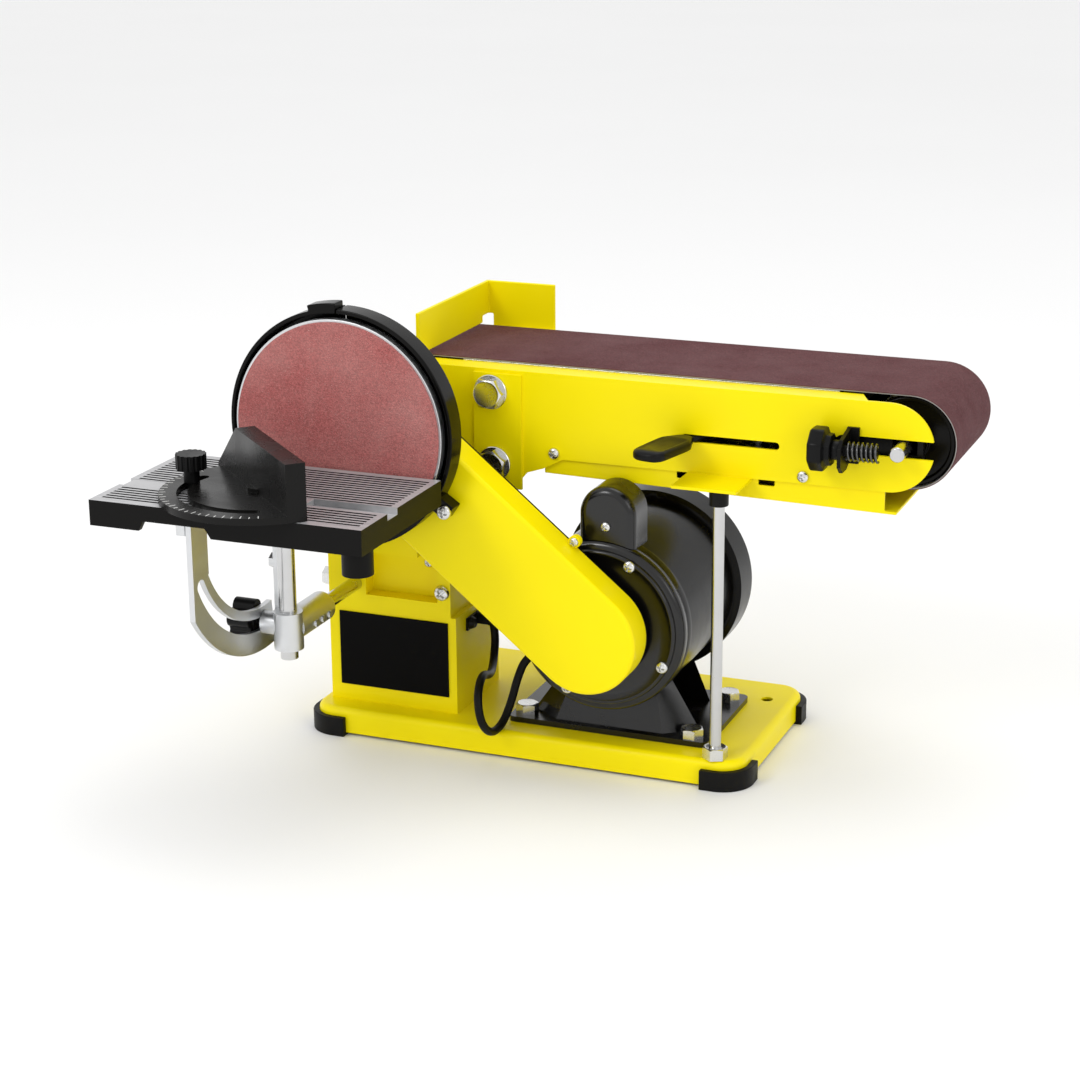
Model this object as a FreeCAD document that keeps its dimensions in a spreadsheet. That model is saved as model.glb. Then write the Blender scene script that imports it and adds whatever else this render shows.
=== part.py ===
"""Belt disc sander: a parametric assembly, millimetres, +Z up.

Sizes live in one spreadsheet. Every place is given in the shaft frame: X along the belt from the
disc axis, Y back from the abrasive face of the disc, Z up from the axis. The cells axis_x, face_y
and axis_z carry that frame to the origin, which is on the bench under the machine's middle.
"""
import FreeCAD
import Part
import Sketcher
import math
import os
import re

V = FreeCAD.Vector
doc = FreeCAD.newDocument("belt_disc_sander")

# ---------------------------------------------------------------- driving dimensions
SIZES = {
    # where the shaft frame lies over the bench
    "axis_x": -137.4, "face_y": -39.7, "axis_z": 240, "bench": -240,
    # base pan and feet
    "pan_left": -56, "pan_right": 264, "pan_front": 56, "pan_back": 217, "pan_top": -220,
    "pan_low": -238, "pan_corner": 18, "pan_edge": 5, "sheet": 2,
    "boot_out": 4.5, "boot_top": -226, "boot_len": 32, "bench_hole_r": 4.2,
    # pedestal
    "ped_left": -48, "ped_right": 50, "ped_front": 75, "ped_back": 150, "box_top": -149,
    "column_back": 138, "column_top": -72, "neck_half": 34, "neck_front": 48, "neck_back": 84,
    "tube_r": 33, "recess": 12, "wall": 4,
    # shaft line
    "shaft_r": 7.5, "bearing_r": 17.5, "collar_r": 24, "collar_back": 90,
    "disc_r": 75, "disc_thick": 7, "paper": 1,
    "drum_r": 30.4, "belt_thick": 1.2, "belt_front": 104, "belt_width": 100, "idler_x": 359,
    "guard_r": 81, "guard_wall": 3, "guard_front": 4, "guard_back": 20.8, "web_r": 46,
    # belt drive and motor
    "motor_x": 164, "motor_z": -134, "cover_front": 21, "cover_back": 45.5, "cover_r": 37,
    "pulley_r": 28, "small_pulley_r": 18, "pulley_front": 26, "pulley_back": 40,
    "bell_r": 66, "front_r": 60, "stator_r": 59.6, "bell_front": 50, "stator_front": 72,
    "stator_back": 160, "bell_back": 202, "motor_shaft_r": 7,
    # belt arm
    "arm_front": 86, "arm_far": 207, "plate": 2.5, "arm_top": 29.5, "arm_low": -29.5,
    "arm_end_x": 350, "arm_left": -32,
    # tension lever and tracking
    "lever_x": 247.5, "lever_y": 140, "lever_z": -6, "lever_thick": 3.5, "lever_rest": 30, "grip_turn": 18,
    "track_y": 70, "track_z": 0,
    # table
    "table_left": -116, "table_right": 76, "table_front": -121.5, "table_back": -3,
    "table_top": -25, "table_thick": 6, "skirt": 17, "skirt_wall": 4,
    "slot_y": -77, "slot_half": 7.2, "slot_deep": 4.2,
    "tilt_y": -27, "tilt_z": -38, "post_x": -27, "post_r": 6, "rod_z": -131.5, "rod_r": 5,
    "arc_r": 91, "trunnion_x": -49, "trunnion_thick": 4,
    # mitre gauge
    "mitre_x": -16, "mitre_r": 65, "fence_angle": -43.5, "lock_r": 50,
    # support rod under the arm
    "prop_x": 244, "prop_y": 64, "prop_r": 4,
    "free": 0.3, "running": 0.05,
}

sheet = doc.addObject("Spreadsheet::Sheet", "Sizes")
for row, (alias, value) in enumerate(SIZES.items(), start=1):
    sheet.set("A%d" % row, alias)
    sheet.set("B%d" % row, str(value))
    sheet.setAlias("B%d" % row, alias)
doc.recompute()

WORD = re.compile(r"[a-z][a-z_]*")
FUNCTIONS = {"sqrt", "sin", "cos", "tan"}


def size(alias):
    """A driving dimension read back from the sheet."""
    return float(sheet.get(alias))


def bound(text):
    """An expression in alias words, with the sheet's name put before each alias."""
    def swap(match):
        word = match.group(0)
        return word if word in FUNCTIONS else "Sizes." + word
    return WORD.sub(swap, str(text))


def value_of(text):
    """The number that an expression in alias words stands for now."""
    plain = WORD.sub(lambda m: repr(size(m.group(0))), str(text))
    return float(FreeCAD.Units.parseQuantity(plain).Value)


def place(obj, x="0", y="0", z="0"):
    """Put an object's base at a point of the shaft frame."""
    obj.setExpression("Placement.Base.x", bound("axis_x + (%s)" % x))
    obj.setExpression("Placement.Base.y", bound("face_y + (%s)" % y))
    obj.setExpression("Placement.Base.z", bound("axis_z + (%s)" % z))
    return obj


AXIS_TURN = {
    "X": FreeCAD.Rotation(V(0, 1, 0), 90),
    "Y": FreeCAD.Rotation(V(1, 0, 0), -90),
    "Z": FreeCAD.Rotation(),
}
count = {"made": 0}


def new(kind, hint):
    count["made"] += 1
    return doc.addObject(kind, "%s_%d" % (hint, count["made"]))


def box(x0, x1, y0, y1, z0, z1):
    """A block between two corners of the shaft frame."""
    obj = new("Part::Box", "block")
    obj.setExpression("Length", bound("(%s) - (%s)" % (x1, x0)))
    obj.setExpression("Width", bound("(%s) - (%s)" % (y1, y0)))
    obj.setExpression("Height", bound("(%s) - (%s)" % (z1, z0)))
    return place(obj, x0, y0, z0)


def cylinder(axis, radius, low, high, at):
    """A cylinder along axis from low to high; at gives its two other coordinates in X, Y, Z order."""
    obj = new("Part::Cylinder", "round")
    obj.Placement = FreeCAD.Placement(V(), AXIS_TURN[axis])
    obj.setExpression("Radius", bound(radius))
    obj.setExpression("Height", bound("(%s) - (%s)" % (high, low)))
    spot = list(at)
    spot.insert("XYZ".index(axis), low)
    return place(obj, *spot)


def cone(axis, r_low, r_high, low, high, at):
    obj = new("Part::Cone", "taper")
    obj.Placement = FreeCAD.Placement(V(), AXIS_TURN[axis])
    obj.setExpression("Radius1", bound(r_low))
    obj.setExpression("Radius2", bound(r_high))
    obj.setExpression("Height", bound("(%s) - (%s)" % (high, low)))
    spot = list(at)
    spot.insert("XYZ".index(axis), low)
    return place(obj, *spot)


def hexagon(axis, across, low, high, at):
    """A hexagonal head or nut, given across its flats."""
    obj = new("Part::Prism", "hexagon")
    obj.Polygon = 6
    obj.Placement = FreeCAD.Placement(V(), AXIS_TURN[axis])
    obj.setExpression("Circumradius", bound("(%s) / sqrt(3)" % across))
    obj.setExpression("Height", bound("(%s) - (%s)" % (high, low)))
    spot = list(at)
    spot.insert("XYZ".index(axis), low)
    return place(obj, *spot)


def fuse(*shapes):
    if len(shapes) == 1:
        return shapes[0]
    obj = new("Part::MultiFuse", "joined")
    obj.Shapes = list(shapes)
    obj.Refine = True
    return obj


def cut(base, *tools):
    obj = new("Part::Cut", "cut")
    obj.Base = base
    obj.Tool = fuse(*tools)
    obj.Refine = True
    return obj


def group(*shapes):
    """Separate solids kept in one node, as for identical fasteners."""
    obj = new("Part::Compound", "set")
    obj.Links = list(shapes)
    return obj


def solid(shape, x="0", y="0", z="0"):
    """A shape made with Part's own functions about the shaft frame's origin."""
    matrix = shape.Placement.toMatrix()
    shape.Placement = FreeCAD.Placement()
    obj = new("Part::Feature", "formed")
    obj.Shape = shape.transformed(matrix, True)
    return place(obj, x, y, z)


def origin_plane(body, role):
    return [f for f in body.Origin.OriginFeatures if f.Role == role][0]


def draw(body, role, outline):
    """A closed outline of straight runs whose corners are bound to expressions."""
    sketch = body.newObject("Sketcher::SketchObject", "%s_outline" % body.Name)
    sketch.AttachmentSupport = [(origin_plane(body, role), "")]
    sketch.MapMode = "FlatFace"
    spots = [V(value_of(u), value_of(w), 0) for u, w in outline]
    total = len(spots)
    for i in range(total):
        sketch.addGeometry(Part.LineSegment(spots[i], spots[(i + 1) % total]))
    for i in range(total):
        sketch.addConstraint(Sketcher.Constraint("Coincident", i, 2, (i + 1) % total, 1))
    for i, (u, w) in enumerate(outline):
        for kind, text, number in (("DistanceX", u, spots[i].x), ("DistanceY", w, spots[i].y)):
            index = sketch.addConstraint(Sketcher.Constraint(kind, -1, 1, i, 1, number))
            name = "%s%d" % (kind[-1].lower(), i)
            sketch.renameConstraint(index, name)
            sketch.setExpression("Constraints." + name, bound(text))
    return sketch


PLANES = {"X": "YZ_Plane", "Y": "XZ_Plane", "Z": "XY_Plane"}


def prism(axis, outline, low, high, rounding=None):
    """An outline in the plane across axis, padded from low to high; rounding is (radius, test)."""
    body = new("PartDesign::Body", "body")
    sketch = draw(body, PLANES[axis], outline)
    pad = body.newObject("PartDesign::Pad", "%s_pad" % body.Name)
    pad.Profile = sketch
    pad.Reversed = axis == "Y"
    pad.setExpression("Length", bound("(%s) - (%s)" % (high, low)))
    doc.recompute()
    if rounding:
        radius, test = rounding
        edges = ["Edge%d" % (i + 1) for i, e in enumerate(pad.Shape.Edges) if test(e)]
        fillet = body.newObject("PartDesign::Fillet", "%s_fillet" % body.Name)
        fillet.Base = (pad, edges)
        fillet.setExpression("Radius", bound(radius))
    spot = ["0", "0", "0"]
    spot["XYZ".index(axis)] = low
    return place(body, *spot)


def turned(axis, profile, at):
    """A profile of (radius, along) corners turned about axis, which passes through at."""
    body = new("PartDesign::Body", "turned")
    if axis == "Z":
        sketch = draw(body, "XZ_Plane", [(r, a) for r, a in profile])
        around = "V_Axis"
    else:
        role = "YZ_Plane" if axis == "Y" else "XZ_Plane"
        sketch = draw(body, role, [(a, r) for r, a in profile])
        around = "H_Axis"
    revolve = body.newObject("PartDesign::Revolution", "%s_turn" % body.Name)
    revolve.Profile = sketch
    revolve.ReferenceAxis = (sketch, [around])
    revolve.Angle = 360
    spot = list(at)
    spot.insert("XYZ".index(axis), "0")
    return place(body, *spot)


def along(axis):
    """A test for the edges that run along one axis."""
    way = {"X": V(1, 0, 0), "Y": V(0, 1, 0), "Z": V(0, 0, 1)}[axis]

    def test(edge):
        if not isinstance(edge.Curve, Part.Line):
            return False
        return abs(abs(edge.tangentAt(edge.FirstParameter).dot(way)) - 1) < 1e-6
    return test


NODES = {}


def node(label, obj):
    obj.Label = label
    NODES[label] = obj
    return obj


def arc_edge(centre, radius, start, end, plane="XZ"):
    """An arc in the XZ or YZ or XY plane, angles in degrees from the first axis."""
    def spot(angle):
        u = centre[0] + radius * math.cos(math.radians(angle))
        w = centre[1] + radius * math.sin(math.radians(angle))
        return {"XZ": V(u, 0, w), "YZ": V(0, u, w), "XY": V(u, w, 0)}[plane]
    return Part.Arc(spot(start), spot((start + end) / 2), spot(end)).toShape()


def ring_sector(inner, outer, start, end, low, high, plane="XZ", centre=(0, 0)):
    """A sector of a flat ring, thick from low to high across its plane."""
    across = {"XZ": V(0, 1, 0), "YZ": V(1, 0, 0), "XY": V(0, 0, 1)}[plane]
    first = arc_edge(centre, outer, start, end, plane)
    second = arc_edge(centre, inner, start, end, plane)
    ends = [
        Part.makeLine(first.Vertexes[0].Point, second.Vertexes[0].Point),
        Part.makeLine(first.Vertexes[-1].Point, second.Vertexes[-1].Point),
    ]
    wire = Part.Wire(Part.__sortEdges__([first, second] + ends))
    face = Part.Face(wire)
    face.translate(across * low)
    return face.extrude(across * (high - low))


def stadium(x0, z0, x1, z1, radius, low, high):
    """A slab with round ends between two axes along Y."""
    way = V(x1 - x0, 0, z1 - z0)
    length = way.Length
    way.normalize()
    side = V(-way.z, 0, way.x) * radius
    a, b = V(x0, 0, z0), V(x1, 0, z1)
    edges = [
        Part.makeLine(a + side, b + side),
        Part.Arc(b + side, b + way * radius, b - side).toShape(),
        Part.makeLine(b - side, a - side),
        Part.Arc(a - side, a - way * radius, a + side).toShape(),
    ]
    assert length > 0
    face = Part.Face(Part.Wire(edges))
    face.translate(V(0, low, 0))
    return face.extrude(V(0, high - low, 0))


def rounded_slab(x0, x1, y0, y1, z0, z1, radius):
    """A block with rounded upright corners."""
    shape = Part.makeBox(x1 - x0, y1 - y0, z1 - z0, V(x0, y0, z0))
    return shape.makeFillet(radius, [e for e in shape.Edges if along("Z")(e)])


# ---------------------------------------------------------------- base
def base_pan():
    left, right, front, back = size("pan_left"), size("pan_right"), size("pan_front"), size("pan_back")
    top, low, corner, edge = size("pan_top"), size("pan_low"), size("pan_corner"), size("pan_edge")
    skin = size("sheet")
    shell = rounded_slab(left, right, front, back, low, top, corner)
    rim = [e for e in shell.Edges if min(v.Z for v in e.Vertexes) > top - 0.01]
    shell = shell.makeFillet(edge, rim)
    hollow = rounded_slab(left + skin, right - skin, front + skin, back - skin, low - 1, top - skin,
                          corner - skin)
    shell = shell.cut(hollow)
    for x in (left + 33, right - 19):
        hole = Part.makeCylinder(size("bench_hole_r"), 10, V(x, back - 36, top - 6))
        shell = shell.cut(hole)
    return solid(shell)


def rubber_feet():
    left, right, front, back = size("pan_left"), size("pan_right"), size("pan_front"), size("pan_back")
    out, length, corner = size("boot_out"), size("boot_len"), size("pan_corner")
    bench, low, top = size("bench"), size("pan_low"), size("boot_top")
    outer = rounded_slab(left - out, right + out, front - out, back + out, bench, top, corner + out)
    pan = rounded_slab(left, right, front, back, low, 0, corner)
    pad = rounded_slab(left + 10, right - 10, front + 10, back - 10, bench - 1, low, corner - 10)
    shell = outer.cut(pan).cut(pad)
    boots = []
    for x in (left - out, right + out - length):
        for y in (front - out, back + out - length):
            corner_box = Part.makeBox(length, length, 40, V(x, y, bench))
            boots.append(shell.common(corner_box).Solids[0])
    return solid(Part.makeCompound(boots))


node("base_pan", base_pan())
node("rubber_feet", rubber_feet())


# ---------------------------------------------------------------- pedestal
LEAD_R = 2.9
LEAD_ROUTE = [
    V(43, 97, -98), V(56, 101, -121), V(60, 109, -148), V(62, 118, -172), V(66, 103, -190),
    V(75, 76, -188), V(80, 50, -177), V(84, 32, -186), V(87, 30, -204.5), V(89, 42.5, -217.5),
    V(90, 61, -217.5), V(92, 73.5, -204), V(95, 78, -187), V(101, 80, -172), V(115, 87, -161.5),
]


def pedestal():
    lower = box("ped_left", "ped_right", "ped_front", "ped_back", "pan_top", "box_top")
    column = box("ped_left", "ped_right - 4", "ped_front", "column_back", "box_top", "column_top")
    shoulder = box("-neck_half", "neck_half", "neck_front", "column_back", "column_top - 26", "column_top")
    neck = box("-neck_half", "neck_half", "neck_front", "neck_back", "column_top", "0")
    tube = cylinder("Y", "tube_r", "neck_front", "neck_back", ("0", "0"))
    collar = cylinder("Y", "collar_r", "neck_back", "collar_back", ("0", "0"))
    cast = fuse(lower, column, shoulder, neck, tube, collar)
    box_room = box("ped_left + wall", "ped_right - wall", "ped_front + wall", "ped_back - wall",
                   "pan_top", "box_top - wall")
    column_room = box("post_x + 16", "ped_right - 8 - wall", "ped_front + recess + wall",
                      "column_back - wall", "box_top - 1 - wall", "column_top - 26 - wall")
    neck_room = box("-neck_half + 6", "neck_half - 6", "neck_front + 6", "neck_back - 6",
                    "column_top - 20", "-tube_r - 1")
    recess = box("post_x + 8", "ped_right - 14", "ped_front - 1", "ped_front + recess",
                 "-139", "column_top - 26")
    bore = cylinder("Y", "bearing_r", "neck_front - 1", "collar_back + 1", ("0", "0"))
    rod_bore = cylinder("Y", "rod_r + running", "ped_front - 1", "column_back - wall", ("post_x", "rod_z"))
    lock_bore = cylinder("X", "2.6", "ped_left - 1", "post_x - 4", ("ped_front + 9", "rod_z"))
    switch_hole = box("ped_left - 1", "ped_left + wall + 1", "101", "131", "-206", "-158")
    lead_way = LEAD_ROUTE[1] - LEAD_ROUTE[0]
    lead_hole = solid(Part.makeCylinder(LEAD_R + 0.8, 26, LEAD_ROUTE[0] - lead_way * 0.2, lead_way))
    inlet_hole = cylinder("Y", "5", "ped_back - wall - 1", "ped_back + 1", ("12", "-200"))
    return cut(cast, box_room, column_room, neck_room, recess,
               bore, rod_bore, lock_bore, switch_hole, lead_hole, inlet_hole)


def pan_head(axis, radius, face, way, at, shank="6"):
    """A pan-head screw: a dished head on a face, standing out along way, and its shank inside."""
    sign = "+" if way > 0 else "-"
    back = "-" if way > 0 else "+"
    outer = "(%s) %s (%s) * 0.75" % (face, sign, radius)
    inner = "(%s) %s (%s)" % (face, back, shank)
    low, high = (face, outer) if way > 0 else (outer, face)
    r_low, r_high = (radius, "(%s) * 0.62" % radius) if way > 0 else ("(%s) * 0.62" % radius, radius)
    head = cone(axis, r_low, r_high, low, high, at)
    if shank == "0":
        return head
    s_low, s_high = (inner, face) if way > 0 else (face, inner)
    return fuse(head, cylinder(axis, "(%s) * 0.5" % radius, s_low, s_high, at))


def housing_screws():
    deep = "ped_front + recess"
    return group(
        pan_head("Y", "3.4", deep, -1, ("-2", "-103"), "0"),
        pan_head("Y", "3.4", deep, -1, ("25", "-114"), "0"),
        pan_head("Y", "5.6", "ped_front", -1, ("40", "-131"), "0"),
        pan_head("Y", "5", "guard_front + 4", -1, ("73", "-50"), "0"),
        pan_head("Y", "3.2", "cover_back - 5", -1, ("151.8", "-71.5"), "0"),
        pan_head("Y", "3.4", "57", -1, ("168", "-64"), "0"),
    )


def rod_lock_bolt():
    head = hexagon("X", "12", "ped_left - 7", "ped_left", ("ped_front + 9", "rod_z"))
    shank = cylinder("X", "2.5", "ped_left", "post_x - rod_r - 0.1", ("ped_front + 9", "rod_z"))
    return fuse(head, shank)


def switch_box():
    plate = box("ped_left - 5", "ped_left", "96", "136", "-212", "-152")
    well = box("ped_left", "ped_left + 26", "103", "129", "-204", "-160")
    body = fuse(plate, well)
    holes = [cylinder("X", "8.3", "ped_left - 6", "ped_left + 8", ("116", z)) for z in ("-170", "-194")]
    return cut(body, *holes)


def button(z):
    return turned("X", [("0", "-56"), ("6.4", "-56"), ("8", "-54.5"), ("8", "-43"), ("0", "-43")],
                  ("116", z))


node("pedestal", pedestal())
node("label_panel", box("-40", "44", "ped_front - 1", "ped_front", "-208", "-153"))
node("housing_screws", housing_screws())
node("rod_lock_bolt", rod_lock_bolt())
node("switch_box", switch_box())
node("green_button", button("-170"))
node("red_button", button("-194"))
node("mains_inlet", turned("Y", [("0", "ped_back - wall - 3"), ("4.8", "ped_back - wall - 3"),
                                 ("4.8", "ped_back"), ("8.5", "ped_back"), ("8.5", "ped_back + 4"),
                                 ("6.5", "ped_back + 6"), ("5.5", "ped_back + 18"),
                                 ("3.6", "ped_back + 18"), ("3.6", "ped_back + 8"),
                                 ("0", "ped_back + 8")], ("12", "-200")))


# ---------------------------------------------------------------- shaft line
def bearings():
    rings = []
    for low, high in (("50", "61"), ("71", "82")):
        rings.append(turned("Y", [("shaft_r + running", low), ("bearing_r", low), ("bearing_r", high),
                                  ("shaft_r + running", high)], ("0", "0")))
    return group(*rings)


def guard_half(start, end, lug_angle, flare):
    """One half of the disc guard: a rim, an inward web behind the disc, and a flare or lug."""
    outer, skin = size("guard_r"), size("guard_wall")
    front, back = size("guard_front"), size("guard_back")
    rim = ring_sector(outer - skin, outer, start, end, front, back)
    web = ring_sector(size("web_r"), outer - skin, start, end, back - 2, back)
    half = rim.fuse(web)
    if flare:
        half = half.fuse(ring_sector(outer, outer + 4, start, start + 14, front, back - 4))
    if lug_angle is not None:
        lug = Part.makeBox(13, back - front - 4, 11, V(-1, front + 4, -5.5))
        lug.translate(V(outer - 1, 0, 0))
        lug.rotate(V(0, 0, 0), V(0, 1, 0), -lug_angle)
        half = half.fuse(lug)
    return solid(half.removeSplitter())


def disc_plate():
    face = "paper"
    back = "paper + disc_thick"
    return turned("Y", [("0", face), ("disc_r", face), ("disc_r", back), ("disc_r - 4", back),
                        ("disc_r - 4", "paper + 4"), ("24", "paper + 4"), ("20", back),
                        ("17", "18"), ("shaft_r", "18"), ("shaft_r", "4"), ("0", "4")], ("0", "0"))


def main_shaft():
    end = "belt_front + belt_width + 1"
    return turned("Y", [("0", "4"), ("shaft_r", "4"), ("shaft_r", end), ("0", end)], ("0", "0"))


def drum(low, high, bore):
    return turned("Y", [(bore, low), ("drum_r - 1", low), ("drum_r", "(%s) + 4" % low),
                        ("drum_r", "(%s) - 4" % high), ("drum_r - 1", high), (bore, high)], ("0", "0"))


def pulley(radius, bore, at):
    """A poly-V pulley with a flange on each side and five grooves."""
    profile = [(bore, "pulley_front"), ("(%s) + 2" % radius, "pulley_front"),
               ("(%s) + 2" % radius, "pulley_front + 1.5")]
    for i in range(5):
        start = "pulley_front + 2 + %d * 2" % i
        profile += [(radius, start), ("(%s) - 1.4" % radius, start + " + 1")]
    profile += [(radius, "pulley_back - 2"), ("(%s) + 2" % radius, "pulley_back - 1.5"),
                ("(%s) + 2" % radius, "pulley_back"), (bore, "pulley_back")]
    return turned("Y", profile, at)


def loop(x0, z0, r0, x1, z1, r1, thick, low, high):
    """A closed belt round two pulleys whose axes lie along Y."""
    def outline(grow):
        a, b = V(x0, 0, z0), V(x1, 0, z1)
        ra, rb = r0 + grow, r1 + grow
        span = (b - a).Length
        lean = math.asin((ra - rb) / span)
        base = math.atan2(z1 - z0, x1 - x0)

        def spot(centre, radius, angle):
            return centre + V(math.cos(angle), 0, math.sin(angle)) * radius
        up, down = base + math.pi / 2 - lean, base - math.pi / 2 + lean
        return Part.Wire([
            Part.makeLine(spot(a, ra, up), spot(b, rb, up)),
            Part.Arc(spot(b, rb, up), spot(b, rb, base), spot(b, rb, down)).toShape(),
            Part.makeLine(spot(b, rb, down), spot(a, ra, down)),
            Part.Arc(spot(a, ra, down), spot(a, ra, base + math.pi), spot(a, ra, up)).toShape(),
        ])
    outer = Part.Face(outline(thick)).extrude(V(0, high - low, 0))
    inner = Part.Face(outline(0)).extrude(V(0, high - low, 0))
    shape = outer.cut(inner)
    shape.translate(V(0, low, 0))
    return shape


node("shaft_bearings", bearings())
node("guard_left", guard_half(90.4, 322, None, True))
node("guard_right", guard_half(-34, 90, -34, False))
node("disc_plate", disc_plate())
node("abrasive_disc", cylinder("Y", "disc_r - 1.8", "0", "paper", ("0", "0")))
node("main_shaft", main_shaft())
node("drive_drum", drum("belt_front + 1", "belt_front + belt_width - 1", "shaft_r"))
node("driven_pulley", pulley("pulley_r", "shaft_r", ("0", "0")))


# ---------------------------------------------------------------- belt drive and its cover
def drive_cover():
    mx, mz, radius = size("motor_x"), size("motor_z"), size("cover_r")
    front, back = size("cover_front"), size("cover_back")
    shell = stadium(0, 0, mx, mz, radius, front, back)
    shell = shell.makeFillet(3, [e for e in shell.Edges if max(v.Y for v in e.Vertexes) < front + 0.01])
    room = stadium(0, 0, mx, mz, radius - 2.5, front + 2.5, back + 1)
    shell = shell.cut(room)
    shell = shell.cut(Part.makeCylinder(19.5, 10, V(0, front - 1, 0), V(0, 1, 0)))
    ear = Part.makeCylinder(4.2, 5, V(151.8, back - 5, -71.5), V(0, 1, 0))
    slab = stadium(0, 0, mx, mz, radius - 1, front, back)
    shell = shell.fuse(ear.cut(slab))
    return solid(shell.removeSplitter())


def cover_back_plate():
    mx, mz, radius = size("motor_x"), size("motor_z"), size("cover_r")
    low, high = size("cover_back"), size("neck_front")
    plate = stadium(0, 0, mx, mz, radius, low, high)
    plate = plate.cut(Part.makeCylinder(12, 10, V(0, low - 1, 0), V(0, 1, 0)))
    plate = plate.cut(Part.makeCylinder(12, 10, V(mx, low - 1, mz), V(0, 1, 0)))
    return solid(plate)


def drive_belt():
    gap = 0.3
    shape = loop(0, 0, size("pulley_r") + gap, size("motor_x"), size("motor_z"),
                 size("small_pulley_r") + gap, 2.2, size("pulley_front") + 2, size("pulley_back") - 2)
    return solid(shape)


node("drive_cover", drive_cover())
node("cover_back_plate", cover_back_plate())
node("drive_belt", drive_belt())
node("motor_pulley", pulley("small_pulley_r", "motor_shaft_r", ("motor_x", "motor_z")))


# ---------------------------------------------------------------- motor
def motor_front_bell():
    return turned("Y", [("motor_shaft_r + running", "bell_front"), ("14", "bell_front"),
                        ("16", "bell_front + 3"), ("front_r - 4.5", "bell_front + 3"),
                        ("front_r - 1", "bell_front + 5"), ("front_r", "bell_front + 8"),
                        ("front_r", "stator_front"),
                        ("stator_r - 4.5", "stator_front"), ("stator_r - 4.5", "bell_front + 12"),
                        ("40", "bell_front + 7"), ("motor_shaft_r + running", "bell_front + 7")],
                  ("motor_x", "motor_z"))


def motor_rear_bell():
    shell = turned("Y", [("stator_r - 4.5", "stator_back"), ("stator_r + 1", "stator_back"),
                         ("bell_r", "stator_back + 3"), ("bell_r", "bell_back - 14"),
                         ("bell_r - 8", "bell_back - 4"), ("42", "bell_back"),
                         ("motor_shaft_r + running", "bell_back"), ("motor_shaft_r + running", "bell_back - 3"),
                         ("40", "bell_back - 3"), ("bell_r - 9", "bell_back - 7"),
                         ("bell_r - 3.5", "bell_back - 16"), ("bell_r - 3.5", "stator_back + 4"),
                         ("stator_r - 4.5", "stator_back + 4")], ("motor_x", "motor_z"))
    vents = []
    for i in range(8):
        turn = 360 * i / 8 + 10
        slot = ring_sector(22, 38, turn, turn + 24, size("bell_back") - 5, size("bell_back") + 2)
        vents.append(solid(slot, "motor_x", "0", "motor_z"))
    return cut(shell, *vents)


def stator():
    tube = turned("Y", [("stator_r - 4.5", "stator_front"), ("stator_r", "stator_front"),
                        ("stator_r", "stator_back"), ("stator_r - 4.5", "stator_back"),
                        ("stator_r - 4.5", "138"), ("38", "138"), ("38", "84"), ("stator_r - 4.5", "84")],
                  ("motor_x", "motor_z"))
    way = LEAD_ROUTE[-1] - LEAD_ROUTE[-2]
    return cut(tube, solid(Part.makeCylinder(LEAD_R, 30, LEAD_ROUTE[-2], way)))


def motor_rotor():
    return turned("Y", [("0", "pulley_front - 1"), ("motor_shaft_r", "pulley_front - 1"),
                        ("motor_shaft_r", "86"), ("36", "86"), ("36", "136"), ("motor_shaft_r", "136"),
                        ("motor_shaft_r", "bell_back + 1"), ("0", "bell_back + 1")],
                  ("motor_x", "motor_z"))


def cooling_fan():
    hub = turned("Y", [("motor_shaft_r", "168"), ("14", "168"), ("14", "169.5"), ("48", "169.5"),
                       ("48", "171.5"), ("14", "171.5"), ("14", "180"), ("motor_shaft_r", "180")],
                 ("motor_x", "motor_z"))
    blades = []
    for i in range(8):
        blade = Part.makeBox(32, 9, 1.6, V(15, 171, -0.8))
        blade.rotate(V(0, 0, 0), V(0, 1, 0), 45 * i)
        blades.append(solid(blade, "motor_x", "0", "motor_z"))
    return fuse(hub, *blades)


def motor_screws():
    heads = []
    for turn in (64, 154, 244, 334):
        x = "motor_x + %.3f" % (50.6 * math.cos(math.radians(turn)))
        z = "motor_z + %.3f" % (50.6 * math.sin(math.radians(turn)))
        heads.append(pan_head("Y", "4.2", "bell_front + 3", -1, (x, z), "0"))
    return group(*heads)


def capacitor_housing():
    low, shoulder, mid, radius, deep = -81, -57, 168, 19.8, (57, 84)
    edges = [
        Part.makeLine(V(mid - radius, 0, low), V(mid + radius, 0, low)),
        Part.makeLine(V(mid + radius, 0, low), V(mid + radius, 0, shoulder)),
        Part.Arc(V(mid + radius, 0, shoulder), V(mid, 0, shoulder + radius),
                 V(mid - radius, 0, shoulder)).toShape(),
        Part.makeLine(V(mid - radius, 0, shoulder), V(mid - radius, 0, low)),
    ]
    face = Part.Face(Part.Wire(edges))
    face.translate(V(0, deep[0], 0))
    dome = face.extrude(V(0, deep[1] - deep[0], 0))
    dome = dome.makeFillet(6, [e for e in dome.Edges if max(v.Y for v in e.Vertexes) < deep[0] + 0.01
                               and max(v.Z for v in e.Vertexes) > low])
    seam = V(size("motor_x"), size("stator_front"), size("motor_z"))
    bell = Part.makeCylinder(size("front_r"), 60, seam, V(0, -1, 0))
    core = Part.makeCylinder(size("stator_r"), 60, seam, V(0, 1, 0))
    return solid(dome.cut(bell).cut(core))


def chamfered(x0, x1, y0, y1, cut_x, cut_y, z):
    """A flat rectangle with its four corners cut off, as a closed wire."""
    spots = [V(x0 + cut_x, y0, z), V(x1 - cut_x, y0, z), V(x1, y0 + cut_y, z), V(x1, y1 - cut_y, z),
             V(x1 - cut_x, y1, z), V(x0 + cut_x, y1, z), V(x0, y1 - cut_y, z), V(x0, y0 + cut_y, z)]
    return Part.makePolygon(spots + spots[:1])


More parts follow.
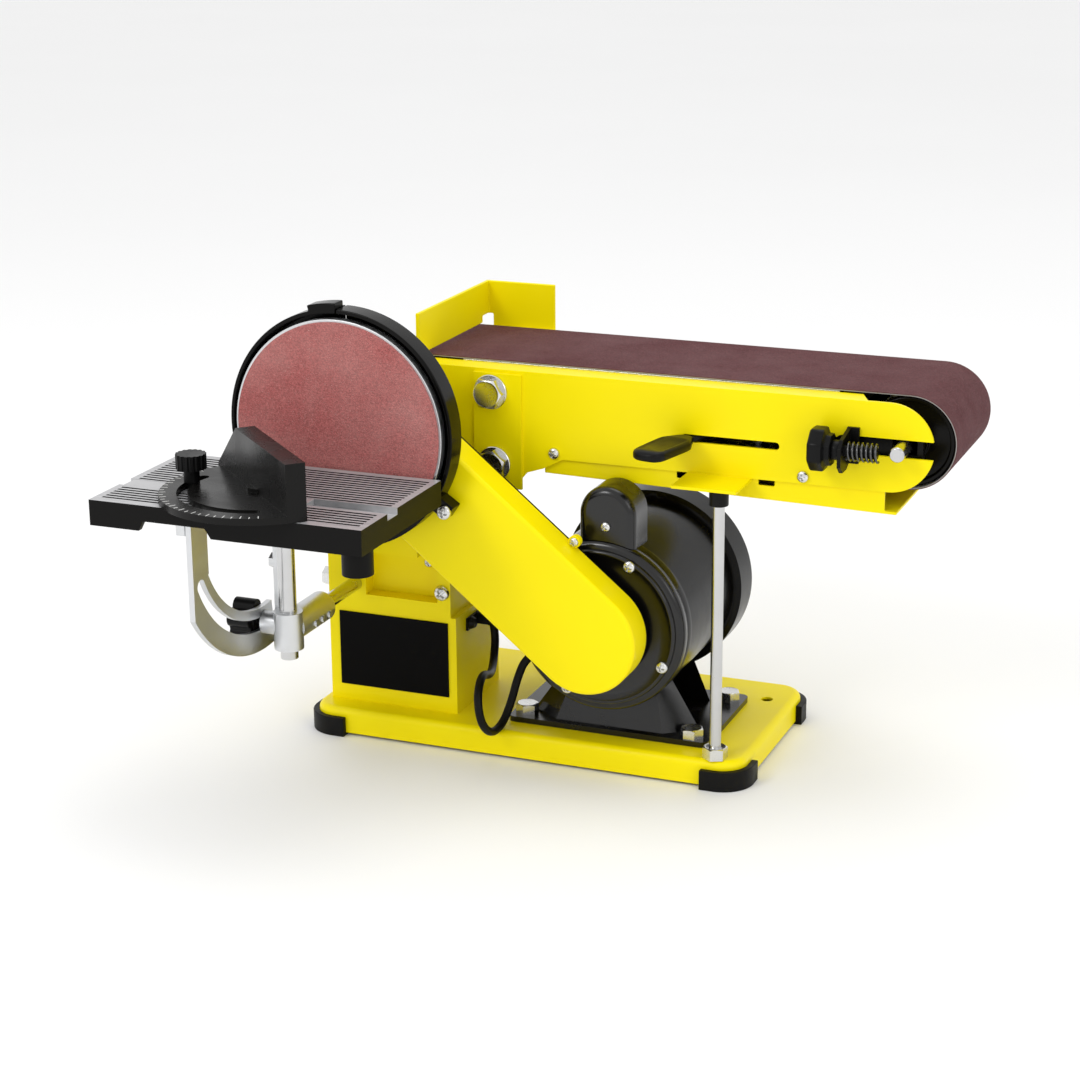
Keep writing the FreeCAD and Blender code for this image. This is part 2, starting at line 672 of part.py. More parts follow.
def motor_mount():
    mx, mz, top = size("motor_x"), size("motor_z"), size("pan_top")
    plate = rounded_slab(88, 234, 76, 174, top, top + 4, 5)
    low = chamfered(92, 230, 82, 162, 30, 22, top + 4)
    high = chamfered(126, 200, 90, 158, 9, 9, mz - 44)
    block = Part.makeLoft([low, high], True)
    tunnel = Part.makeBox(200, 56, 60, V(60, 98, top + 4))
    stator_room = Part.makeCylinder(size("stator_r"), 200, V(mx, 40, mz), V(0, 1, 0))
    front_room = Part.makeCylinder(size("front_r"), 60, V(mx, size("stator_front") - 60, mz), V(0, 1, 0))
    rear_room = Part.makeCylinder(size("bell_r"), 60, V(mx, size("stator_back"), mz), V(0, 1, 0))
    saddle = block.cut(tunnel).cut(stator_room).cut(front_room).cut(rear_room)
    mount = plate.fuse(saddle)
    for x, y in MOUNT_BOLTS:
        mount = mount.cut(Part.makeCylinder(3.3, 10, V(x, y, top - 1)))
    return solid(mount.removeSplitter())


MOUNT_BOLTS = ((98, 88), (221, 84), (98, 162), (223, 160))


def mount_bolts():
    """Four hexagon bolts through the motor mount and the nut that locks the support rod."""
    pieces = []
    for x, y in MOUNT_BOLTS:
        washer = cylinder("Z", "7", "pan_top + 4", "pan_top + 5.2", (str(x), str(y)))
        head = hexagon("Z", "11", "pan_top + 5.2", "pan_top + 11", (str(x), str(y)))
        pieces.append(fuse(washer, head))
    nut = hexagon("Z", "15", "pan_top", "pan_top + 8", ("prop_x", "prop_y"))
    pieces.append(cut(nut, cylinder("Z", "prop_r", "pan_top - 1", "pan_top + 9", ("prop_x", "prop_y"))))
    return group(*pieces)


node("motor_front_bell", motor_front_bell())
node("motor_stator", stator())
node("motor_rear_bell", motor_rear_bell())
node("motor_rotor", motor_rotor())
node("cooling_fan", cooling_fan())
node("motor_screws", motor_screws())
node("capacitor_housing", capacitor_housing())
node("motor_mount", motor_mount())
node("mount_bolts", mount_bolts())
node("support_rod", cylinder("Z", "prop_r", "pan_top", "-36", ("prop_x", "prop_y")))
node("support_cap", cut(cylinder("Z", "6.5", "-43", "-31.6", ("prop_x", "prop_y")),
                        cylinder("Z", "prop_r", "-44", "-36", ("prop_x", "prop_y"))))


# ---------------------------------------------------------------- motor lead
def tube_along(points, radius, name):
    """Straight runs joined by tangent arcs, swept as one tube; prints each arc's radius."""
    edges, here, radii = [], points[0], []
    for before, corner, after in zip(points, points[1:], points[2:]):
        into = (corner - before)
        out = (after - corner)
        shorter = min(into.Length, out.Length)
        into.normalize()
        out.normalize()
        turn = into.getAngle(out)
        bend = 0.45 * shorter / math.tan(turn / 2)
        back = 0.45 * shorter
        start, end = corner - into * back, corner + out * back
        inward = out - into
        inward.normalize()
        centre = corner + inward * (bend / math.cos(turn / 2))
        middle = centre - inward * bend
        edges.append(Part.LineSegment(here, start).toShape())
        edges.append(Part.Arc(start, middle, end).toShape())
        radii.append(round(bend, 1))
        here = end
    edges.append(Part.LineSegment(here, points[-1]).toShape())
    path = Part.Wire(edges)
    way = points[1] - points[0]
    profile = Part.Wire(Part.Circle(points[0], way, radius).toShape())
    tube = path.makePipeShell([profile], True, True)
    area = math.pi * radius ** 2
    print(name, "length", round(path.Length, 1), "radii", radii,
          "volume ratio", round(tube.Volume / (area * path.Length), 4))
    return tube


def lead_clip():
    """A P-clip on the pedestal's side that holds the lead, with its screw."""
    way = LEAD_ROUTE[3] - LEAD_ROUTE[2]
    spot = LEAD_ROUTE[2] + way * 0.45
    way.normalize()
    side = size("ped_right")
    ring = Part.makeCylinder(LEAD_R + 1.7, 8, spot - way * 4, way)
    strap = Part.makeBox(spot.x - side, 3, 8, V(side, spot.y - 5, spot.z - 4))
    tab = Part.makeBox(1.6, 21, 9, V(side, spot.y - 21, spot.z - 4.5))
    screw = Part.makeCone(4.8, 3.2, 3.4, V(side + 1.6, spot.y - 15, spot.z), V(1, 0, 0))
    clip = ring.fuse(strap).fuse(tab).fuse(screw)
    clip = clip.cut(Part.makeCylinder(LEAD_R, 24, spot - way * 12, way))
    return solid(clip.removeSplitter())


node("motor_lead", solid(tube_along(LEAD_ROUTE, LEAD_R, "motor_lead")))
node("lead_clip", lead_clip())


# ---------------------------------------------------------------- belt arm
def arm_outline(low_left):
    """The side plate's outline: round at the idler end, deeper at the pedestal end."""
    end, top, low, left = size("arm_end_x"), size("arm_top"), size("arm_low"), size("arm_left")
    start = [V(left, 0, top), V(end, 0, top)]
    rest = [V(end, 0, low), V(126, 0, low)] + low_left + [V(left, 0, top)]
    edges = [Part.makeLine(start[0], start[1]),
             Part.Arc(V(end, 0, top), V(end + (top - low) / 2, 0, (top + low) / 2),
                      V(end, 0, low)).toShape()]
    for a, b in zip(rest, rest[1:]):
        edges.append(Part.makeLine(a, b))
    return Part.Face(Part.Wire(edges))


def arm_side_plate():
    front, thick, top = size("arm_front"), size("plate"), size("arm_top")
    corner = [V(112, 0, -37), V(100, 0, -41), V(90, 0, -53), V(60, 0, -53), V(44, 0, -38),
              V(size("arm_left"), 0, -38)]
    face = arm_outline(corner)
    face.translate(V(0, front, 0))
    plate = face.extrude(V(0, thick, 0))
    left, reach = size("arm_left"), size("belt_front") - 0.4
    flange = Part.Face(Part.makePolygon([V(left, front, top - thick), V(336, front, top - thick),
                                         V(328, reach, top - thick), V(left, reach, top - thick),
                                         V(left, front, top - thick)])).extrude(V(0, 0, thick))
    plate = plate.fuse(flange)
    lip = Part.makeBox(44, front - 52, 2, V(215, 52, -31.3))
    lip = lip.fuse(Part.makeBox(44, 2, 4, V(215, front, -31.3)))
    plate = plate.fuse(lip)
    web = Part.makeBox(2.5, 17, 28, V(97.5, front, -41))
    strip = Part.makeBox(35, 2, 80, V(62, front - 2, -53))
    plate = plate.fuse(web).fuse(strip)
    plate = plate.cut(Part.makeCylinder(size("collar_r") + size("running"), 30, V(0, front - 5, 0),
                                        V(0, 1, 0)))
    slot = Part.makeBox(60, 10, 12, V(320, front - 1, -6))
    slot = slot.fuse(Part.makeCylinder(6, 10, V(320, front - 1, 0), V(0, 1, 0)))
    plate = plate.cut(slot)
    plate = plate.cut(stadium(213, size("lever_z"), 275, size("lever_z"), 2.6, front - 1, front + 8))
    return solid(plate.removeSplitter())


def arm_far_plate():
    face = arm_outline([V(90, 0, -36), V(size("arm_left"), 0, -36)])
    face.translate(V(0, size("arm_far"), 0))
    plate = face.extrude(V(0, size("plate"), 0))
    slot = Part.makeBox(60, 10, 12, V(320, size("arm_far") - 1, -6))
    plate = plate.cut(slot)
    plate = plate.cut(Part.makeCylinder(12, 10, V(0, size("arm_far") - 1, 0), V(0, 1, 0)))
    return solid(plate)


def platen():
    """The backing plate under the belt's top run, stepped down to a foot on the side plate."""
    near, far, under = "belt_front", "arm_far", "drum_r - 0.2"
    top = box("46", "312", near, far, under + " - 3", under)
    step = box("46", "312", near, near + " + 2", "12", under + " - 3")
    foot = box("46", "312", "arm_front + plate", near, "12", "14")
    back = box("46", "312", far + " - 2", far, "12", under + " - 3")
    return fuse(top, step, foot, back)


def cross_plate():
    """The plate across the arm that carries the tension lever's pin."""
    y0, y1 = "arm_front + plate", "arm_far"
    plate = box("232", "264", y0, y1, "-17", "-14.5")
    near = box("232", "264", y0, y0 + " + 2", "-14.5", "-10")
    far = box("232", "264", y1 + " - 2", y1, "-14.5", "-10")
    pin = cylinder("Z", "4", "-14.5", "lever_z + 8", ("lever_x", "lever_y"))
    return fuse(plate, near, far, pin)


def belt_tray():
    """The sheet channel under the belt's lower run: two walls inside the arm and a sloping floor."""
    near_y, far_y = size("arm_front") + size("plate"), size("arm_far")
    thick, left, right, top = 2, 112, 348, -20

    def floor_z(x):
        return -38.5 - 0.019 * (x - left)
    outline = [V(left, near_y, -33), V(128, near_y, top), V(right, near_y, top),
               V(right, near_y, floor_z(right)), V(left, near_y, floor_z(left)), V(left, near_y, -33)]
    wall = Part.Face(Part.makePolygon(outline))
    near = wall.extrude(V(0, thick, 0))
    far = near.copy()
    far.translate(V(0, far_y - near_y - thick, 0))
    for x in (207, 263):
        near = near.cut(Part.makeBox(11, thick + 2, 5, V(x, near_y - 1, -34)))
    corners = [V(left, near_y, floor_z(left)), V(right + 8, near_y, floor_z(right + 8)),
               V(right + 8, near_y, floor_z(right + 8) - thick), V(left, near_y, floor_z(left) - thick)]
    floor = Part.Face(Part.makePolygon(corners + corners[:1])).extrude(V(0, far_y - near_y, 0))
    return solid(near.fuse(far).fuse(floor).removeSplitter())


def arm_bolts():
    """Big hexagon bolts on the pedestal end of the arm, and two that hold the work stop."""
    pieces = []
    for x, z in (("75", "14"), ("77", "-36")):
        washer = cylinder("Y", "12", "arm_front - 4", "arm_front - 2", (x, z))
        head = hexagon("Y", "19", "arm_front - 11", "arm_front - 4", (x, z))
        pieces.append(fuse(washer, head))
    for x in ("32", "58"):
        pieces.append(hexagon("Y", "10", "arm_far + 2 * plate + 0.2", "arm_far + 2 * plate + 5.2", (x, "4")))
    return group(*pieces)


def work_stop():
    """An angle across the belt: a back panel bolted to the far plate and a panel over the belt."""
    back = size("arm_far") + size("plate")
    panel = Part.makeBox(54, 2.7, 73, V(18, back, -10))
    across = Part.makeBox(2.7, back + 2.7 - 88, 63 - 34, V(18, 88, 34))
    relief = Part.makeBox(8, 14, 9, V(17, back - 11, 30))
    stop = panel.fuse(across).cut(relief)
    stop = stop.fuse(Part.makeBox(48, 2.7, 9, V(24, back, 30)))
    return solid(stop.removeSplitter())


def tracking_bracket():
    """The ear bent out of a small angle on the side plate, bored for the tracking stem."""
    foot = box("323", "331", "arm_front - 2.5", "arm_front", "-12", "12")
    ear = prism("X", [("60", "-9"), ("60", "3"), ("65", "8"), ("arm_front", "12"), ("arm_front", "-9"),
                      ("76", "-14"), ("66", "-14")], "323", "325.5")
    return cut(fuse(foot, ear), cylinder("X", "4 + running", "322", "332", ("track_y", "track_z")))


def tracking_spring():
    """A compression spring on the tracking stem."""
    wire_r, coil_r, pitch = 0.8, 5.6, 3
    helix = Part.makeHelix(pitch, 21, coil_r)
    profile = Part.Wire(Part.Circle(V(coil_r, 0, 0), V(0, 1, 0), wire_r).toShape())
    coil = Part.Wire(helix).makePipeShell([profile], True, True)
    coil.rotate(V(0, 0, 0), V(0, 1, 0), 90)
    return solid(coil, "326.6", "track_y", "track_z")


node("arm_side_plate", arm_side_plate())
node("arm_far_plate", arm_far_plate())
node("platen", platen())
node("arm_cross_plate", cross_plate())
node("belt_tray", belt_tray())
node("arm_bolts", arm_bolts())
node("tray_screws", group(pan_head("Y", "4", "arm_front", -1, ("120", "-25.5"), "0"),
                          pan_head("Y", "4", "arm_front", -1, ("294", "-24.5"), "0")))
node("sanding_belt", solid(loop(0, 0, size("drum_r") + 0.1, size("idler_x"), 0, size("drum_r") + 0.1,
                                size("belt_thick"), size("belt_front"),
                                size("belt_front") + size("belt_width"))))
node("work_stop", work_stop())
node("tracking_bracket", tracking_bracket())
node("tracking_spring", tracking_spring())


# ---------------------------------------------------------------- idler, tension and tracking
def idler_yoke():
    """The sliding fork that carries the idler's axle between the side plates."""
    spine = box("300", "314", "92", "206.4", "-9", "9")
    near = box("314", "idler_x + 12", "92", "98", "-9", "9")
    far = box("314", "idler_x + 12", "203.4", "206.4", "-9", "9")
    tongue = box("262", "300", "120", "134", "-13.5", "-10")
    riser = box("300", "306", "120", "134", "-13.5", "-8")
    near_slot = box("idler_x - 8", "idler_x + 8", "91", "99", "-5.3", "5.3")
    far_hole = cylinder("Y", "5.4", "202", "208", ("idler_x", "0"))
    return cut(fuse(spine, near, far, tongue, riser), near_slot, far_hole)


def idler_axle():
    return turned("Y", [("0", "70"), ("4.2", "70"), ("5", "71"), ("5", "arm_far + 5"), ("0", "arm_far + 5")],
                  ("idler_x", "0"))


def idler_drum():
    low, high = "belt_front + 2", "belt_front + belt_width - 2"
    return turned("Y", [("5 + running", low), ("12", low), ("12", low + " + 3"), ("drum_r - 4", low + " + 3"),
                        ("drum_r - 4", low), ("drum_r - 1", low), ("drum_r", low + " + 4"),
                        ("drum_r", high + " - 4"), ("drum_r - 1", high), ("5 + running", high)],
                  ("idler_x", "0"))


def tension_lever():
    """A flat lever on an upright pin, bent outside the side plate into a thick paddle grip."""
    thick, reach = size("lever_thick"), 66
    blade = Part.makeBox(8, reach + 3, thick, V(-4, -reach - 3, -thick / 2))
    hub = Part.makeCylinder(9, thick, V(0, 0, -thick / 2))
    half = ((6, 0), (12.5, -13), (11.5, -49), (6, -54))
    outline = [V(x, y, -4) for x, y in half] + [V(-x, y, -4) for x, y in reversed(half)]
    grip = Part.Face(Part.makePolygon(outline + outline[:1])).extrude(V(0, 0, 8))
    grip = grip.makeFillet(4, [e for e in grip.Edges if along("Z")(e) and e.Vertexes[0].Y < -5])
    flat = [e for e in grip.Edges if abs(e.Vertexes[0].Z - e.Vertexes[-1].Z) < 1e-6]
    grip = grip.makeFillet(1.6, flat)
    grip.rotate(V(0, 0, 0), V(0, 0, 1), size("grip_turn"))
    grip.translate(V(0, -reach, 0))
    lever = blade.fuse(hub).fuse(grip)
    lever = lever.cut(Part.makeCylinder(4 + size("running"), 20, V(0, 0, -10)))
    lever.rotate(V(0, 0, 0), V(0, 0, 1), -size("lever_rest"))
    return solid(lever.removeSplitter(), "lever_x", "lever_y", "lever_z")


def tracking_knob():
    """An eight-sided knob on a stem that passes through the bracket's ear."""
    knob = new("Part::Prism", "octagon")
    knob.Polygon = 8
    knob.Placement = FreeCAD.Placement(V(), AXIS_TURN["X"])
    knob.setExpression("Circumradius", "14.9")
    knob.setExpression("Height", "14")
    place(knob, "303.5", "track_y", "track_z")
    stem = turned("X", [("0", "317.5"), ("6.5", "317.5"), ("6.5", "322.7"), ("4", "322.7"), ("4", "347"),
                        ("0", "347")], ("track_y", "track_z"))
    return fuse(knob, stem)


node("idler_yoke", idler_yoke())
node("idler_axle", idler_axle())
node("idler_drum", idler_drum())
node("tension_lever", tension_lever())
node("tracking_knob", tracking_knob())


# ---------------------------------------------------------------- table
def table():
    left, right, front, back = "table_left", "table_right", "table_front", "table_back"
    under = "table_top - table_thick"
    slab = box(left, right, front, back, "table_top - skirt", "table_top")
    room = box("table_left + skirt_wall", "table_right - skirt_wall", "table_front + skirt_wall",
               "table_back - skirt_wall", "table_top - skirt - 1", under)
    slot = box("table_left - 1", "table_right + 1", "slot_y - slot_half", "slot_y + slot_half",
               "table_top - slot_deep", "table_top + 1")
    keel = box("table_left + skirt_wall", "table_right - skirt_wall", "slot_y - slot_half - 3",
               "slot_y + slot_half + 3", "table_top - slot_deep - 4", under)
    notch = prism("Y", [("-81", "table_top - skirt - 1"), ("-77", "table_top - skirt + 6.5"),
                        ("-33", "table_top - skirt + 6.5"), ("-28", "table_top - skirt - 1")],
                  "table_front - 1", "table_front + skirt_wall + 1")
    boss = cylinder("Z", "10", "-58", "table_top - table_thick", ("66", "table_front + 14"))
    lugs = [box(x0, x1, "tilt_y - 8", "tilt_y + 8", "tilt_z - 7", under)
            for x0, x1 in (("post_x - 14.3", "post_x - 8.3"), ("post_x + 8.3", "post_x + 14.3"))]
    pin_hole = cylinder("X", "4 + running", "post_x - 20", "post_x + 20", ("tilt_y", "tilt_z"))
    grooves = []
    pitch = 4.7
    for i in range(13):
        y = "table_back - 6.5 - %.2f" % (pitch * i)
        grooves.append(box("table_left + 5", "table_right - 5", y + " - 2.2", y, "table_top - 1.1",
                           "table_top + 1"))
    for i in range(6):
        y = "slot_y - slot_half - 4 - %.2f" % (pitch * i)
        grooves.append(box("table_left + 5", "table_right - 5", y + " - 2.2", y, "table_top - 1.1",
                           "table_top + 1"))
    cast = fuse(cut(slab, room), keel, boss, *lugs)
    return cut(cast, slot, notch, pin_hole, *grooves)


def tilt_trunnion():
    """A C-shaped plate with an arc slot about the tilt axis, hung from the table's front."""
    x0, thick = size("trunnion_x"), size("trunnion_thick")
    cy, cz, arc = size("tilt_y"), size("tilt_z"), size("arc_r")
    centre = (cy, cz)
    plate = ring_sector(80, 110, 176, 278, x0, x0 + thick, "YZ", centre)
    under = size("table_top") - size("table_thick")
    front = size("table_front") + size("skirt_wall")
    arm = Part.makeBox(thick, 20, under - cz + 36, V(x0, front, cz - 36))
    room = Part.makeBox(thick, 200, 200, V(x0, front, under - 200))
    plate = plate.fuse(arm).common(room)
    flange = Part.makeBox(20, 24, 4, V(x0 - 16, front + 0.5, under - 4))
    plate = plate.fuse(arm).fuse(flange)
    slot = ring_sector(arc - 4.5, arc + 4.5, 207, 274, x0 - 1, x0 + thick + 1, "YZ", centre)
    for turn in (207, 274):
        y = cy + arc * math.cos(math.radians(turn))
        z = cz + arc * math.sin(math.radians(turn))
        slot = slot.fuse(Part.makeCylinder(4.5, thick + 2, V(x0 - 1, y, z), V(1, 0, 0)))
    plate = plate.cut(slot)
    bolt = Part.makeCylinder(6.5, 1.6, V(x0 - 8, front + 12.5, under - 5.6))
    head = Part.Face(Part.makePolygon([V(x0 - 8 + 6.2 * math.cos(math.radians(a)),
                                         front + 12.5 + 6.2 * math.sin(math.radians(a)), under - 5.6)
                                       for a in range(0, 361, 60)]))
    bolt = bolt.fuse(head.extrude(V(0, 0, -9.5)))
    return solid(Part.makeCompound([plate.removeSplitter(), bolt]))


def table_post():
    """The steel post with the pin on which the table tilts."""
    post = cylinder("Z", "post_r", "rod_z - 21", "tilt_z + 1", ("post_x", "tilt_y"))
    pin = cylinder("X", "4", "post_x - 15", "post_x + 15", ("tilt_y", "tilt_z"))
    sleeve = cylinder("X", "7", "post_x - 8", "post_x + 8", ("tilt_y", "tilt_z"))
    low = box("post_x - 9", "post_x + 9", "tilt_y - 9", "tilt_y + 9", "tilt_z", "tilt_z + 20")
    return fuse(post, pin, cut(sleeve, low))


def t_clamp():
    """The casting that grips the upright post and the table rod."""
    upright = cylinder("Z", "10", "rod_z - 14", "rod_z + 12", ("post_x", "tilt_y"))
    sleeve = cylinder("Y", "10.5", "tilt_y + 3", "22", ("post_x", "rod_z"))
    boss = cylinder("X", "8", "trunnion_x + trunnion_thick + free", "post_x", ("tilt_y", "tilt_z - arc_r"))
    arm = prism("X", [("tilt_y + 4", "rod_z + 4"), ("tilt_y + 4", "tilt_z - 14"), ("tilt_y + 13", "tilt_z - 14"),
                      ("tilt_y + 18", "tilt_z - 50"), ("tilt_y + 24", "rod_z + 4")],
                "post_x - 12", "post_x - 6")
    post_room = cylinder("Z", "post_r", "rod_z - 15", "tilt_z", ("post_x", "tilt_y"))
    rod_room = cylinder("Y", "rod_r", "tilt_y + 12", "23", ("post_x", "rod_z"))
    bolt_room = cylinder("X", "4 + running", "trunnion_x", "post_x - post_r - 1.6", ("tilt_y", "tilt_z - arc_r"))
    head = hexagon("X", "9", "post_x - 15.5", "post_x - 12", ("tilt_y + 9", "-88"))
    screws = [cylinder("X", "2.6", "post_x + 8", "post_x + 11.5", (y, "rod_z - 2"))
              for y in ("-6", "4", "14")]
    return cut(fuse(upright, sleeve, boss, arm, head, *screws), post_room, rod_room, bolt_room)


def tilt_knob():
    """A three-lobed lock knob whose bolt runs through the trunnion's slot into the clamp."""
    cy, cz, x0 = size("tilt_y"), size("tilt_z") - size("arc_r"), size("trunnion_x")
    head = Part.makeCylinder(11, 16, V(x0 - 17, 0, 0), V(1, 0, 0))
    for i in range(5):
        turn = math.radians(72 * i + 18)
        lobe = Part.makeCylinder(5.5, 16, V(x0 - 17, 9.5 * math.cos(turn), 9.5 * math.sin(turn)), V(1, 0, 0))
        head = head.fuse(lobe)
    collar = Part.makeCylinder(7.5, 0.7, V(x0 - 1, 0, 0), V(1, 0, 0))
    bolt = Part.makeCylinder(4, -x0 + size("post_x") - size("post_r") - 2.2, V(x0 - 0.5, 0, 0), V(1, 0, 0))
    knob = head.removeSplitter().fuse(collar).fuse(bolt)
    return solid(knob.removeSplitter(), "0", str(cy), str(cz))


node("table", table())
node("tilt_trunnion", tilt_trunnion())
node("table_post", table_post())
node("t_clamp", t_clamp())
node("table_rod", cylinder("Y", "rod_r", "tilt_y + 12", "128", ("post_x", "rod_z")))
node("tilt_knob", tilt_knob())


# ---------------------------------------------------------------- mitre gauge
def mitre_head():
    """A half-round protractor with an arc slot and the fence along its straight side, one casting."""
    radius, low = size("mitre_r"), size("table_top") + size("free")
    thick, top, lock = 4.5, low + 37.5, size("lock_r")
    plate = ring_sector(3.2, radius, 94, 266, low, low + thick, "XY")
    slot = ring_sector(lock - 3.5, lock + 3.5, 119, 247, low - 1, low + 6, "XY")
    for turn in (119, 247):
        spot = V(lock * math.cos(math.radians(turn)), lock * math.sin(math.radians(turn)), low - 1)
        slot = slot.fuse(Part.makeCylinder(3.5, 7, spot))
    side = [V(-5, 74, low), V(-5, -65, low), V(-5, -65, top), V(-5, 33, top), V(-5, 74, low + thick)]
    fence = Part.Face(Part.makePolygon(side + side[:1])).extrude(V(13, 0, 0))
    head = plate.fuse(Part.makeCylinder(9, 7, V(0, 0, low))).fuse(fence)
    head = head.cut(slot).cut(Part.makeCylinder(3 + size("running"), 20, V(0, 0, low - 5)))
    head.rotate(V(0, 0, 0), V(0, 0, 1), 90 + size("fence_angle"))
    return solid(head.removeSplitter(), "mitre_x", "slot_y", "0")


def mitre_bar():
    """The bar that slides in the table's slot, with the pivot pin of the head and the lock stud."""
    half = "slot_half - 0.2"
    bar = box("table_left + 3", "mitre_x + 34", "slot_y - (%s)" % half, "slot_y + (%s)" % half,
              "table_top - slot_deep + 0.2", "table_top")
    pin = cylinder("Z", "3", "table_top - 1", "table_top + 8", ("mitre_x", "slot_y"))
    return fuse(bar, pin)


def mitre_knob():
    """A fluted knob on a stem over the head's arc slot."""
    low = size("table_top") + size("free") + 4.5
    knob = Part.makeCylinder(10, 10, V(0, 0, low + 9))
    for i in range(16):
        turn = math.radians(22.5 * i)
        flute = Part.makeCylinder(1.3, 11, V(10.4 * math.cos(turn), 10.4 * math.sin(turn), low + 8.5))
        knob = knob.cut(flute)
    stem = Part.makeCylinder(5.2, 8.7, V(0, 0, low + 0.3))
    stud = Part.makeCylinder(3, 5.2, V(0, 0, low - 4.7))
    return solid(knob.fuse(stem).fuse(stud).removeSplitter(), "mitre_x - lock_r", "slot_y", "0")


node("mitre_bar", mitre_bar())
node("mitre_head", mitre_head())
node("mitre_knob", mitre_knob())


# ---------------------------------------------------------------- checks and output
def write_parts():
    doc.recompute()
    for obj in doc.Objects:
        if "Invalid" in obj.State or "Error" in obj.State:
            raise RuntimeError("%s failed: %s" % (obj.Label, obj.State))
    os.makedirs("parts", exist_ok=True)
    for label, obj in NODES.items():
        shape = obj.Shape
        if shape.isNull() or not shape.isValid():
            raise RuntimeError("%s has no valid shape" % label)
        shape.exportStep("parts/%s.step" % label)
        bounds = shape.BoundBox
        print("%-18s solids %d volume %9.1f  x %7.1f %7.1f  y %7.1f %7.1f  z %6.1f %6.1f" % (
            label, len(shape.Solids), shape.Volume, bounds.XMin, bounds.XMax, bounds.YMin, bounds.YMax,
            bounds.ZMin, bounds.ZMax))
    print(len(NODES), "nodes")


write_parts()
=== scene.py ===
import bpy
import bmesh
import math
from mathutils import Matrix, Vector


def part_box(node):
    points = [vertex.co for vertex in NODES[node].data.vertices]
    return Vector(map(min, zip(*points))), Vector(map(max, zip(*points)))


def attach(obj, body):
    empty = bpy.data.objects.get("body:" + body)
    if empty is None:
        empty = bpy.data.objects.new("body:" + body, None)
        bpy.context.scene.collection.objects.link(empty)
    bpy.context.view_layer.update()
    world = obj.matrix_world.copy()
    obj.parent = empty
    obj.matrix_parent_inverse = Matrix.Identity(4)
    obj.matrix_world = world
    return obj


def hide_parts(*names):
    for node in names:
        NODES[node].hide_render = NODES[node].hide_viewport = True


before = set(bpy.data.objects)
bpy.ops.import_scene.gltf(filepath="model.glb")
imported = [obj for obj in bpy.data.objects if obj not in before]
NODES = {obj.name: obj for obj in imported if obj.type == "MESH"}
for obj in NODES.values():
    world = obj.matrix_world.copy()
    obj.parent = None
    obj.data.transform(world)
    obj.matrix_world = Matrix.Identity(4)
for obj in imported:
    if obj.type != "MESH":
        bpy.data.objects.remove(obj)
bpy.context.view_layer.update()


# ---------------------------------------------------------------- places
def middle(node):
    low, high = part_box(node)
    return (low + high) / 2


AXIS = Vector((middle("main_shaft").x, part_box("abrasive_disc")[0].y, middle("main_shaft").z))


def at(x, y, z):
    """A point in metres, given in millimetres from the middle of the disc's face."""
    return AXIS + Vector((x, y, z)) / 1000


# ---------------------------------------------------------------- camera
AZIMUTH, ELEVATION, ROLL = math.radians(22.0), math.radians(17.36), math.radians(-0.43)
TARGET, DISTANCE = (144, 0, -59), 1584.14
FOCAL, PICTURE_WIDE, SENSOR = 2455.37, 1080, 36


def make_camera():
    """The view at rest: azimuth from the front toward the belt arm, then elevation and roll."""
    back = Vector((math.sin(AZIMUTH) * math.cos(ELEVATION), -math.cos(AZIMUTH) * math.cos(ELEVATION),
                   math.sin(ELEVATION)))
    level = Vector((math.cos(AZIMUTH), math.sin(AZIMUTH), 0))
    upright = back.cross(level)
    right = level * math.cos(ROLL) + upright * math.sin(ROLL)
    up = upright * math.cos(ROLL) - level * math.sin(ROLL)
    turn = Matrix((right, up, back)).transposed().to_4x4()
    data = bpy.data.cameras.new("camera")
    data.sensor_width = SENSOR
    data.lens = SENSOR * FOCAL / PICTURE_WIDE
    data.clip_start = 0.01
    data.clip_end = 50
    camera = bpy.data.objects.new("camera", data)
    camera.matrix_world = Matrix.Translation(at(*TARGET) + back * DISTANCE / 1000) @ turn
    bpy.context.scene.collection.objects.link(camera)
    bpy.context.scene.camera = camera


